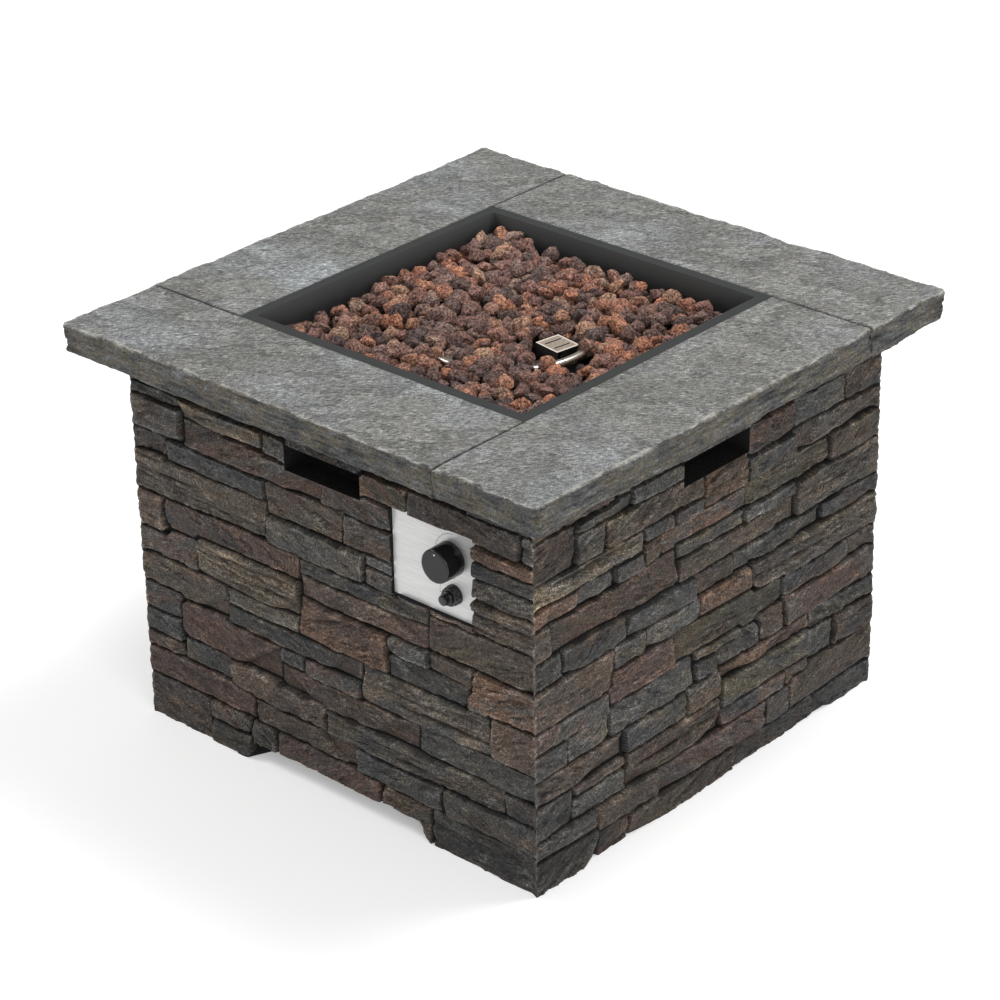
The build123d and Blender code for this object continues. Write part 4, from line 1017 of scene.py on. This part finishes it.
def wall_mesh(name, quarter, grid, relief, left_corner, right_corner):
    """Closed wall mesh: the relief in front, returns at its edges and holes painted dark as shade, and a flat
    back.
    """
    lines_x, lines_z, x, z = grid[:4]
    shift_x, shift_z, height, paint, grain = relief
    corner = np.where(x > 0, right_corner[:, None], left_corner[:, None])
    near_end = smooth(np.abs(x), BACKING - CORNER_END, BACKING)
    depth = BACKING + height * (1 - near_end) + corner * near_end
    x_out = x + shift_x + np.sign(x) * smooth(np.abs(x), BACKING - CORNER_BLEND, BACKING) * corner
    front = np.stack([x_out, -depth, z + shift_z], axis=-1).reshape(-1, 3)
    cells = face_cells(quarter, lines_x, lines_z)
    back, sides = wall_returns(front, cells, *height.shape)
    points = np.concatenate([front, back]) @ quarter_turn(quarter).T * MM
    faces = np.concatenate([cells, sides])
    kept, renumbered = np.unique(faces, return_inverse=True)
    mesh = bpy.data.meshes.new(name)
    mesh.from_pydata(points[kept].tolist(), [], renumbered.reshape(faces.shape).tolist())
    bm = bmesh.new()
    bm.from_mesh(mesh)
    bmesh.ops.triangle_fill(bm, edges=[edge for edge in bm.edges if edge.is_boundary], use_beauty=True)
    bmesh.ops.recalc_face_normals(bm, faces=bm.faces)
    bm.to_mesh(mesh)
    bm.free()
    corners = np.zeros(len(mesh.loops), np.int32)
    mesh.loops.foreach_get("vertex_index", corners)
    # Returns and back take the near-black joint colour as painted shade; the face takes the stone colours
    tints = np.ones((len(corners), 4), np.float32)
    tints[:, :3] = tone("joint")
    tints[: cells.size, :3] = paint.reshape(-1, 3)[kept[corners[: cells.size]]]
    mesh.attributes.new("stone_colour", "FLOAT_COLOR", "CORNER").data.foreach_set("color", tints.ravel())
    places = np.concatenate([grain.reshape(-1, 3), back * 0])[kept].astype(np.float32)
    mesh.attributes.new("stone_grain", "FLOAT_VECTOR", "POINT").data.foreach_set("vector", places.ravel())
    shade(mesh, 50)
    return mesh


class FIREPIT_OT_stone_walls(bpy.types.Operator):
    """Stacked ledge-stone walls with joints painted dark as shade, mitred at the corners"""

    bl_idname = "fire_pit.stone_walls"
    bl_label = "Stone walls"

    def execute(self, context):
        material = stone_finish()
        charts = (FRONT_CHART, SIDE_CHART, BACK_CHART, SIDE_CHART)
        grids = [wall_grid(quarter) for quarter in range(4)]
        reliefs = [wall_relief(quarter, charts[quarter], grids[quarter]) for quarter in range(4)]
        levels = np.linspace(0, WALL_TOP, CORNER_LEVELS)
        corners = corner_stands(levels, grids, reliefs)
        for quarter, name in enumerate(WALLS):
            right = np.interp(grids[quarter][1], levels, corners[quarter])
            left = np.interp(grids[quarter][1], levels, corners[quarter - 1])
            mesh = wall_mesh(name + "_stones", quarter, grids[quarter], reliefs[quarter], left, right)
            new_piece(name + "_stones", mesh, material, "root", [name])
        return {"FINISHED"}


# Top slabs
def edge_lines(low, high, step, fine_low, fine_high):
    """Lines between low and high, closer together near the ends that ask for it."""
    marks = [low] + ([low + 1.2, low + 3.0] if fine_low else [low + 0.8])
    ends = ([high - 3.0, high - 1.2] if fine_high else [high - 0.8]) + [high]
    count = max(2, round((ends[0] - marks[-1]) / step))
    middle = [marks[-1] + (ends[0] - marks[-1]) * index / count for index in range(1, count)]
    return np.array(marks + middle + ends)


def box_surface(lines):
    """Points and quads on the surface of a box divided along its lines in X, Y and Z."""
    counts = [len(line) for line in lines]
    index = {}
    points, quads = [], []

    def corner(place):
        if place not in index:
            index[place] = len(points)
            points.append([lines[axis][place[axis]] for axis in range(3)])
        return index[place]

    for axis in range(3):
        first, second = (axis + 1) % 3, (axis + 2) % 3
        for end in (0, counts[axis] - 1):
            for a in range(counts[first] - 1):
                for b in range(counts[second] - 1):
                    ring = []
                    for da, db in ((0, 0), (1, 0), (1, 1), (0, 1)):
                        place = [0, 0, 0]
                        place[axis], place[first], place[second] = end, a + da, b + db
                        ring.append(corner(tuple(place)))
                    quads.append(ring if end else ring[::-1])
    return np.array(points), quads


def quarter_round(away, radius):
    """Depth of a round edge as a share of its radius, at a distance from where it starts."""
    return 1 - np.sqrt(np.clip(1 - (1 - np.clip(away / radius, 0, 1)) ** 2, 0, 1))


def slab_mesh(name, quarter):
    """One top slab: cleft face, hewn outer edges, straight edges at the seams and the opening."""
    opening = PAN_HIGH.x + PAN_GAP
    left, right, outer = SLAB_LOW.x, SLAB_HIGH.x, SLAB_LOW.y
    step = size("slab_step")
    points, quads = box_surface((
        edge_lines(left, right, step, True, False), edge_lines(outer, -opening, step, True, False),
        edge_lines(SLAB_LOW.z, SLAB_HIGH.z, step, True, True)))
    x, y, z = points.T
    seed = SLAB_SEED + quarter
    rise, thick = z - SLAB_LOW.z, SLAB_HIGH.z - SLAB_LOW.z
    to_left, to_front, to_end, to_opening = x - left, y - outer, right - x, -opening - y
    sheets = 2.6 * rough((x + y) / 70, rise / 15, seed + 4)
    ledges = 1.5 * (np.floor(sheets) + smooth(sheets % 1, 0.8, 1.0))
    belly = 5.0 * quarter_round(rise, 9)
    shoulder = 2.0 * quarter_round(thick - rise, 3)

    def hewn_push(along, coarse, fine, wave):
        """How far a hewn edge is cut in along its length, with the shifts of its seeds."""
        ragged = rough(along / 36, rise / 12, seed + coarse) * 3.2
        ragged = ragged + rough(along / 10, rise / 5, seed + fine, 3) * 1.5
        waved = 2.2 * rough(along / 95, along * 0, seed + wave)
        return np.clip(size("slab_chip") * 0.55 + ragged + ledges + waved + belly + shoulder, -1.0, 12)

    def rim_chips(along, away, shift):
        """Depth of the chips out of the top's rim along an edge."""
        broken = np.clip(rough(along / 15, along * 0, seed + shift) + 0.02, 0, 1)
        return CHIP_DEPTH * broken ** 1.1 * np.exp(-away / CHIP_REACH)

    groove = GROOVE_DEPTH * (1 - smooth(to_end, 0.0, GROOVE_WIDTH))
    moved = points.copy()
    moved[:, 1] += (hewn_push(x, 0, 1, 5) + groove) * np.exp(-to_front / HEWN_REACH)
    moved[:, 0] += hewn_push(y, 2, 3, 6) * np.exp(-to_left / HEWN_REACH)
    cut = np.clip(7.0 + 1.0 * rough(rise / 9, rise * 0, seed + 13) - to_left - to_front, 0, None) / 2
    moved[:, :2] += cut[:, None]
    along, beside = x + 0.4 * y, y - 0.4 * x
    cleft = 0.8 * rough(along / 60, beside / 22, seed + 7) + 0.5 * rough(along / 16, beside / 6, seed + 8, 3)
    steps = 0
    for sheet in range(3):
        level = rough(along / (130 - 30 * sheet), beside / (48 - 12 * sheet), seed + 20 + sheet)
        steps = steps + 0.7 * smooth(level, 0.10 + 0.13 * sheet, 0.13 + 0.13 * sheet)
    on_top = smooth(rise, thick - 2.0, thick)
    at_end = 1 - smooth(to_end, 0.0, BEVEL_WIDTH)
    at_inside = 1 - smooth(to_opening, 0.0, BEVEL_WIDTH)
    at_inside = at_inside * (0.45 + 0.55 * smooth(-opening - x, -2.0, 0.0))
    bevel = BEVEL_DEPTH * np.maximum(at_end, at_inside)
    calm = 0.25 + 0.75 * (smooth(to_end, 0, 6) * smooth(to_opening, 0, 6))
    chips = rim_chips(x, to_front, 10) + rim_chips(y, to_left, 11)
    moved[:, 2] += on_top * ((cleft - steps) * calm - chips - bevel - 0.4)
    # Mask of the pale arris, partly wear and partly painted highlight
    near_rim = np.maximum(np.exp(-to_front / WEAR_AND_HIGHLIGHT_REACH), np.exp(-to_left / WEAR_AND_HIGHLIGHT_REACH))
    hewn = np.maximum(smooth(-to_front, -5.0, -0.5), smooth(-to_left, -5.0, -0.5)) * (1 - 0.85 * on_top)
    patchy = np.clip(0.62 + 1.5 * rough((x + y) / 16, (x - y) / 16, seed + 12, 3), 0, 1)
    mesh = bpy.data.meshes.new(name)
    mesh.from_pydata((moved @ quarter_turn(quarter).T * MM).tolist(), [], quads)
    point_values(mesh, "hewn", hewn)
    point_values(mesh, "worn", near_rim * smooth(rise, thick - 6.0, thick - 0.5) * patchy)
    # Mask of the painted shadow line at the seams and along the opening
    point_values(mesh, "gap", 0.85 * np.maximum(at_end, at_inside * on_top))
    shade(mesh, 55)
    return mesh


class FIREPIT_OT_top_slabs(bpy.types.Operator):
    """Four slate-textured top slabs with hewn outer edges"""

    bl_idname = "fire_pit.top_slabs"
    bl_label = "Top slabs"

    def execute(self, context):
        material = slab_finish()
        for quarter, name in enumerate(SLABS):
            mesh = slab_mesh(name + "_slate", quarter)
            new_piece(name + "_slate", mesh, material, "root", [name])
        return {"FINISHED"}


# Lava stones
def lava_shape(name, seed):
    """One lumpy stone of half size 1, from a rounded cube."""
    bm = bmesh.new()
    bmesh.ops.create_cube(bm, size=2.0)
    bmesh.ops.subdivide_edges(bm, edges=bm.edges, cuts=3, use_grid_fill=True)
    pick = np.random.default_rng(seed)
    stretch = Vector((1.0, 0.62 + 0.3 * pick.random(), 0.58 + 0.3 * pick.random()))
    facets = [Vector(pick.normal(size=3)).normalized() for facet in range(14)]
    cuts = [0.56 + 0.34 * pick.random() for facet in facets]
    for vert in bm.verts:
        way = vert.co.normalized()
        reach = 1.0
        for facet, cut in zip(facets, cuts):
            towards = way.dot(facet)
            if towards > 0.05:
                reach = min(reach, cut / towards)
        reach *= 1 + 0.06 * math.sin(5.3 * way.x + seed) * math.cos(4.7 * way.y - seed)
        vert.co = Vector((way.x * stretch.x, way.y * stretch.y, way.z * stretch.z)) * reach
    mesh = mesh_from(bm, name)
    shade(mesh, 24)
    return mesh


def lava_layout():
    """Geometry nodes: a jittered layer of lava stones on a square, clear of a few round spots."""
    numbers = ("Half width", "Level", "Spread", "Bank", "Smallest", "Largest", "Ring share")
    layout = Layout("lava_layer", (
        ("Stones", "Collection"), *((name, "Float") for name in numbers), ("Rows", "Int"), ("Seed", "Int")))
    given, add, number = layout.given, layout.add, layout.number

    def random(kind, shift, low, high):
        """A random value for each point, from the seed and a shift."""
        lowest, highest, result = {"FLOAT_VECTOR": (0, 1, 0), "FLOAT": (2, 3, 1), "INT": (4, 5, 2)}[kind]
        inputs = {lowest: low, highest: high, "Seed": number("ADD", given["Seed"], shift)}
        return add("FunctionNodeRandomValue", inputs, data_type=kind).outputs[result]

    side = number("MULTIPLY", given["Half width"], 2.0)
    grid = add("GeometryNodeMeshGrid", {
        "Size X": side, "Size Y": side, "Vertices X": given["Rows"], "Vertices Y": given["Rows"]})
    jitter = add("ShaderNodeVectorMath", {
        0: random("FLOAT_VECTOR", 1, (-1, -1, 0), (1, 1, 0)),
        "Scale": number("DIVIDE", number("MULTIPLY", side, 0.36), given["Rows"])}, operation="SCALE")
    place = add("GeometryNodeInputPosition").outputs[0]
    axes = layout.axes(place)
    backward = number("DIVIDE", number("SUBTRACT", axes["Y"], axes["X"]), side)
    slope = number("MINIMUM", number("MAXIMUM", number("ADD", backward, 0.15), 0.0), 1.0)
    level = number("ADD", given["Level"], random("FLOAT", 2, 0.0, given["Spread"]))
    lift = add("ShaderNodeCombineXYZ", {"Z": number("ADD", level, number("MULTIPLY", slope, given["Bank"]))})
    shift = layout.vector("ADD", jitter.outputs[0], lift.outputs[0])[0]
    placed = add("GeometryNodeSetPosition", {"Geometry": grid.outputs["Mesh"], "Offset": shift})
    layer = placed.outputs["Geometry"]
    spots = [(x, y, reach * MM) for x, y, reach in HOOD_CLEARINGS]
    spots += [(x, y, number("MULTIPLY", given["Ring share"], reach * MM)) for x, y, reach in RING_CLEARINGS]
    flat = layout.vector("MULTIPLY", place, (1, 1, 0))[0]
    for x, y, reach in spots:
        away = layout.vector("DISTANCE", flat, (x * MM, y * MM, 0))["Value"]
        inputs = {"Geometry": layer, "Selection": number("LESS_THAN", away, reach)}
        layer = add("GeometryNodeDeleteGeometry", inputs, domain="POINT").outputs["Geometry"]
    stones = add("GeometryNodeCollectionInfo", {
        "Collection": given["Stones"], "Separate Children": True, "Reset Children": True})
    tilt = random("FLOAT_VECTOR", 4, (-0.6, -0.6, 0), (0.6, 0.6, 6.283))
    turn = add("FunctionNodeEulerToRotation", {0: tilt})
    laid = add("GeometryNodeInstanceOnPoints", {
        "Points": layer, "Instance": stones.outputs["Instances"], "Pick Instance": True,
        "Instance Index": random("INT", 3, 0, LAVA_SHAPES - 1), "Rotation": turn.outputs[0],
        "Scale": random("FLOAT", 5, given["Smallest"], given["Largest"])})
    toned = add("GeometryNodeStoreNamedAttribute", {
        "Geometry": laid.outputs["Instances"], "Name": "rock_tone", "Value": random("FLOAT", 6, 0.0, 1.0),
    }, data_type="FLOAT", domain="INSTANCE")
    layout.end(toned.outputs["Geometry"])
    return layout


class FIREPIT_OT_lava_stones(bpy.types.Operator):
    """Bed of lava stones over the burner"""

    bl_idname = "fire_pit.lava_stones"
    bl_label = "Lava stones"

    def execute(self, context):
        finish = lava_finish()
        layout = lava_layout()
        shapes = bpy.data.collections.new("lava_shapes")
        for index in range(LAVA_SHAPES):
            name = f"lava_shape_{index}"
            shapes.objects.link(bpy.data.objects.new(name, lava_shape(name, LAVA_SEED + index)))
        reach = PAN_HIGH.x - BED_GAP - size("rock_large")
        for label, level, spread, bank, seed in LAVA_LAYERS:
            mesh = layout.run({
                "Stones": shapes, "Half width": reach * MM, "Level": (PAN_LOW.z + level) * MM,
                "Spread": spread * MM, "Bank": bank * MM, "Smallest": size("rock_small") * MM,
                "Largest": size("rock_large") * MM, "Ring share": 0.0 if label == "lower" else 1.0,
                "Rows": int(2 * reach / size("rock_spacing")) + 1, "Seed": seed, "Finish": finish})
            nodes = ["lava_rocks"] if label == "upper" else []
            new_piece(f"lava_stones_{label}", mesh, finish, "root", nodes)
        for shape in list(shapes.objects):
            bpy.data.objects.remove(shape)
        bpy.data.collections.remove(shapes)
        return {"FINISHED"}


# Burner, pan and inner hardware keep their construction shape and get their finish
def dress_nodes(groups):
    """Gives construction nodes their finish, from the names that belong to each material."""
    for material, names in groups.items():
        for name in names.split():
            for slot in NODES[name].material_slots:
                slot.material = material


class FIREPIT_OT_burner(bpy.types.Operator):
    """Finishes of the pan, the burner and the igniter hood"""

    bl_idname = "fire_pit.burner"
    bl_label = "Pan and burner"

    def execute(self, context):
        steel = plain_metal("burner_steel", (0.52, 0.47, 0.41), 0.26, 180)
        dull = plain_metal("support_steel", (0.20, 0.19, 0.18), 0.55, 160)
        ceramic = moulding("electrode_ceramic", 0.35, 0.72, 300)
        dress_nodes({
            pan_finish(): "burner_pan",
            hood_finish(): "igniter_hood",
            steel: "ring_burner thermocouple",
            dull: "burner_supports hood_screws",
            ceramic: "spark_electrode",
        })
        return {"FINISHED"}


class FIREPIT_OT_hardware(bpy.types.Operator):
    """Finishes of the brackets, screws, cock, tube and leads inside the body"""

    bl_idname = "fire_pit.hardware"
    bl_label = "Inner hardware"

    def execute(self, context):
        zinc = plain_metal("zinc_plate", (0.50, 0.51, 0.52), 0.42, 90)
        screw = plain_metal("screw_zinc", (0.52, 0.50, 0.44), 0.36, 260)
        brass = plain_metal("turned_brass", (0.62, 0.44, 0.17), 0.30, 220)
        alloy = plain_metal("cast_alloy", (0.46, 0.46, 0.46), 0.48, 140)
        copper = plain_metal("copper_lead", (0.60, 0.30, 0.18), 0.34, 200)
        sheath = mottled("silicone_sheath", 120, 3, 0.55, (0.24, 0.02, 0.015), (0.33, 0.03, 0.02))
        black = moulding("igniter_barrel", 0.42, 0.02, 200)
        can = moulding("battery_can", 0.3, 0.16, 200)
        dress_nodes({
            zinc: "corner_brackets slab_cleats control_box",
            screw: "bracket_screws cleat_screws box_screws panel_nuts valve_spindle spindle_spring "
                   "igniter_spring",
            brass: "valve_plug valve_end_cap inlet_fitting outlet_nut gas_orifice valve_nut",
            alloy: "valve_body gas_tube air_mixer mixer_nut",
            copper: "thermocouple_lead",
            sheath: "electrode_lead",
            black: "igniter_body igniter_nut",
            can: "battery",
        })
        return {"FINISHED"}


# Controls
def dial_layout():
    """Geometry nodes: an arc of flat dots on the control plate."""
    numbers = ("Radius", "Start", "Sweep", "Dot", "Height")
    layout = Layout("dial_dots", (
        ("Count", "Int"), *((name, "Float") for name in numbers), ("Middle", "Vector")))
    given, add = layout.given, layout.add
    arc = add("GeometryNodeCurveArc", {
        "Resolution": 64, "Radius": given["Radius"],
        "Start Angle": given["Start"], "Sweep Angle": given["Sweep"]})
    spots = add("GeometryNodeCurveToPoints", {"Curve": arc.outputs["Curve"], "Count": given["Count"]})
    dot = add("GeometryNodeMeshCylinder", {"Vertices": 12, "Radius": given["Dot"], "Depth": given["Height"]})
    laid = add("GeometryNodeInstanceOnPoints", {
        "Points": spots.outputs["Points"], "Instance": dot.outputs["Mesh"]})
    upright = add("GeometryNodeTransform", {
        "Geometry": laid.outputs["Instances"], "Translation": given["Middle"],
        "Rotation": (math.pi / 2, 0, 0)})
    layout.end(upright.outputs["Geometry"])
    return layout


class FIREPIT_OT_control_plate(bpy.types.Operator):
    """Bright plate with a dotted dial round the knob and one beside the igniter"""

    bl_idname = "fire_pit.control_plate"
    bl_label = "Control plate"

    def execute(self, context):
        dress_nodes({plate_finish(): "control_panel"})
        ink = mottled("dial_ink", 400, 2, 0.6, 0.02, 0.035)
        layout = dial_layout()
        dots = context.scene.fire_pit_sizes.dial_dots
        dials = (("knob_dial", (KNOB_X, KNOB_Z), dots, *KNOB_DIAL),
                 ("igniter_dial", (BUTTON_X, BUTTON_Z), IGNITER_DOTS, *IGNITER_DIAL))
        for name, (x, z), count, radius, start, sweep in dials:
            mesh = layout.run({
                "Count": count, "Radius": radius * MM, "Dot": DOT_RADIUS * MM, "Height": DOT_HEIGHT * MM,
                "Start": math.radians(start), "Sweep": math.radians(sweep),
                "Middle": Vector((x, PLATE_LOW.y, z)) * MM, "Finish": ink})
            new_piece(name, mesh, ink, "root")
        return {"FINISHED"}


class FIREPIT_OT_gas_knob(bpy.types.Operator):
    """Round black knob with a satin face, a glossy side and a pointer dot"""

    bl_idname = "fire_pit.gas_knob"
    bl_label = "Gas knob"

    def execute(self, context):
        radius = (KNOB_HIGH.x - KNOB_LOW.x) / 2
        rear, face = -KNOB_HIGH.y, -KNOB_LOW.y
        gloss = moulding("knob_gloss", 0.20, 0.008, 60)
        satin = moulding("knob_satin", 0.5, 0.006, 500)
        white = moulding("pointer_white", 0.4, 0.75, 300)
        side = ((radius - 4.0, rear + 14), (radius - 4.0, rear + 0.4), (radius - 3.6, rear),
                (radius - 0.5, rear), (radius, rear + 0.5), (radius - 0.2, rear + 6),
                (radius - 0.8, face - 1.9), (radius - 1.0, face - 1.2), (radius - 1.5, face - 0.5),
                (radius - 2.2, face - 0.25))
        body = turned_mesh("knob_side", side, (KNOB_X, KNOB_Z), WIDE_ROUND)
        shade(body, 40)
        new_piece("knob_side", body, gloss, "knob", ["control_knob"])
        disc = ((radius - 2.2, face - 0.6), (radius - 2.2, face - 0.25), (radius - 2.6, face - 0.05),
                (radius - 4.5, face), (radius * 0.45, face - 0.1), (1.2, face - 0.12))
        front = turned_mesh("knob_face", disc, (KNOB_X, KNOB_Z), WIDE_ROUND)
        shade(front, 40)
        new_piece("knob_face", front, satin, "knob")
        dot = ((1.25, face - 0.4), (1.25, face + 0.02), (0.9, face + 0.1))
        mark = turned_mesh("knob_pointer", dot, (KNOB_X, KNOB_Z + radius * 0.7), POINTER_ROUND)
        new_piece("knob_pointer", mark, white, "knob")
        return {"FINISHED"}


class FIREPIT_OT_push_igniter(bpy.types.Operator):
    """Fluted black collar and its round push button"""

    bl_idname = "fire_pit.push_igniter"
    bl_label = "Push igniter"

    def execute(self, context):
        black = moulding("igniter_gloss", 0.26, 0.010, 120)
        radius = (CAP_HIGH.x - CAP_LOW.x) / 2
        rear, face, tip = -CAP_HIGH.y, -CAP_LOW.y, -BUTTON_LOW.y
        bore = (BUTTON_HIGH.x - BUTTON_LOW.x) / 2 + 0.45
        push = bore - 1.65
        collar = ((bore, face - 0.9), (bore, rear), (radius - 0.4, rear), (radius, rear + 0.5),
                  (radius, rear + 3.4), (radius - 0.7, rear + 3.9), (radius - 0.7, face - 1.6),
                  (radius - 1.4, face - 0.4), (radius - 2.2, face), (push + 0.3, face),
                  (push + 0.1, face - 0.3), (push + 0.1, face - 0.9))
        cap = turned_mesh(
            "igniter_collar", collar, (BUTTON_X, BUTTON_Z), WIDE_ROUND, flutes=12, flute_depth=0.9,
            flute_span=(rear + 2.9, face - 1.0), hollow=True)
        shade(cap, 35)
        new_piece("igniter_collar", cap, black, "igniter_cap", ["igniter_cap"])
        button = ((push, face - 2.8), (push, face + 4.2), (push - 0.5, face + 4.8), (push - 1.5, face + 5.0),
                  (push - 1.7, tip - 2.6), (push - 2.1, tip - 1.0), (push - 3.0, tip - 0.3),
                  (push - 4.4, tip - 0.06), (1.0, tip))
        plunger = turned_mesh("igniter_push", button, (BUTTON_X, BUTTON_Z), BUTTON_ROUND)
        shade(plunger, 35)
        new_piece("igniter_push", plunger, black, "igniter_button", ["igniter_button"])
        return {"FINISHED"}


# Stage: floor, light and the photograph's camera
def camera_matrix():
    """Place and turn of the camera from its angles."""
    azimuth, elevation, roll = (math.radians(a) for a in (CAMERA_AZIMUTH, CAMERA_ELEVATION, CAMERA_ROLL))
    ahead = Vector((-math.sin(azimuth) * math.cos(elevation), math.cos(azimuth) * math.cos(elevation),
                    -math.sin(elevation)))
    level = ahead.cross(Vector((0, 0, 1))).normalized()
    upright = level.cross(ahead)
    right = math.cos(roll) * level + math.sin(roll) * upright
    up = math.cos(roll) * upright - math.sin(roll) * level
    turn = Matrix((right, up, -ahead)).transposed().to_4x4()
    return Matrix.Translation(CAMERA_PLACE) @ turn


def floor_finish():
    """Pale matt floor with some white added for camera, glossy and transmission rays."""
    look = Finish("pale_floor")
    look.dress({"Base Color": (0.82, 0.82, 0.82), "Roughness": 0.9, "Specular IOR Level": 0.0})
    seen = look.seen("Is Camera Ray", "Is Glossy Ray", "Is Transmission Ray")
    glow = look.add("ShaderNodeEmission", {"Strength": look.number("MULTIPLY", seen, FLOOR_GLOW)})
    both = look.add("ShaderNodeAddShader", {0: look.shader.outputs[0], 1: glow.outputs[0]})
    look.join(both.outputs[0], look.tree.nodes["Material Output"].inputs["Surface"])
    return look.material


def pale_room():
    """White surroundings, brighter where the camera sees them than as a light."""
    world = bpy.data.worlds.new("pale_room")
    world.use_nodes = True
    room = NodeMaker(world.node_tree)
    walls = world.node_tree.nodes["Background"].inputs
    room.join((1, 1, 1), walls["Color"])
    seen = room.seen("Is Camera Ray", "Is Transmission Ray")
    room.join(room.spread(seen, ROOM_LIGHT, ROOM_SEEN), walls["Strength"])
    return world


class FIREPIT_OT_stage(bpy.types.Operator):
    """Pale floor, soft light and the camera"""

    bl_idname = "fire_pit.stage"
    bl_label = "Stage"

    def execute(self, context):
        scene = context.scene
        scene.view_settings.view_transform = "Standard"
        scene.world = pale_room()
        floor = bpy.data.objects.new("floor", bpy.data.meshes.new("floor"))
        corners = [(x * FLOOR_REACH, y * FLOOR_REACH, 0) for x, y in ((-1, -1), (1, -1), (1, 1), (-1, 1))]
        floor.data.from_pydata(corners, [], [(0, 1, 2, 3)])
        floor.data.materials.append(floor_finish())
        scene.collection.objects.link(floor)
        for name, place, width, watts in LAMPS:
            lamp = bpy.data.lights.new(name, "AREA")
            lamp.size = width
            lamp.energy = watts
            holder = bpy.data.objects.new(name, lamp)
            turn = (Vector(LAMP_AIM) - Vector(place)).to_track_quat("-Z", "Y").to_matrix().to_4x4()
            holder.matrix_world = Matrix.Translation(place) @ turn
            scene.collection.objects.link(holder)
        camera = bpy.data.cameras.new("camera")
        camera.lens = CAMERA_LENS
        camera.sensor_width = CAMERA_SENSOR
        camera.clip_end = CAMERA_END
        holder = bpy.data.objects.new("camera", camera)
        holder.matrix_world = camera_matrix()
        scene.collection.objects.link(holder)
        scene.camera = holder
        return {"FINISHED"}


OPERATORS = (
    FIREPIT_OT_stone_walls, FIREPIT_OT_top_slabs, FIREPIT_OT_lava_stones, FIREPIT_OT_burner,
    FIREPIT_OT_hardware, FIREPIT_OT_control_plate, FIREPIT_OT_gas_knob, FIREPIT_OT_push_igniter,
    FIREPIT_OT_stage,
)


class FIREPIT_PT_pieces(bpy.types.Panel):
    """Lists the pieces of the fire pit"""

    bl_idname = "FIREPIT_PT_pieces"
    bl_label = "Fire Pit"
    bl_space_type = "VIEW_3D"
    bl_region_type = "UI"
    bl_category = "Fire Pit"

    def draw(self, context):
        for operator in OPERATORS:
            self.layout.operator(operator.bl_idname)
        for group in (context.scene.fire_pit_sizes, context.scene.fire_pit_colours):
            for name in group.__annotations__:
                self.layout.prop(group, name)


CLASSES = (FirePitSizes, FirePitColours, *OPERATORS, FIREPIT_PT_pieces)


def register():
    """Registers the classes and the scene's settings."""
    for item in CLASSES:
        bpy.utils.register_class(item)
    bpy.types.Scene.fire_pit_sizes = PointerProperty(type=FirePitSizes)
    bpy.types.Scene.fire_pit_colours = PointerProperty(type=FirePitColours)


def unregister():
    """Removes the settings and the classes."""
    del bpy.types.Scene.fire_pit_colours
    del bpy.types.Scene.fire_pit_sizes
    for item in reversed(CLASSES):
        bpy.utils.unregister_class(item)


def main():
    """Builds every piece."""
    register()
    for operator in OPERATORS:
        group, name = operator.bl_idname.split(".")
        getattr(getattr(bpy.ops, group), name)()


if __name__ == "__main__":
    main()
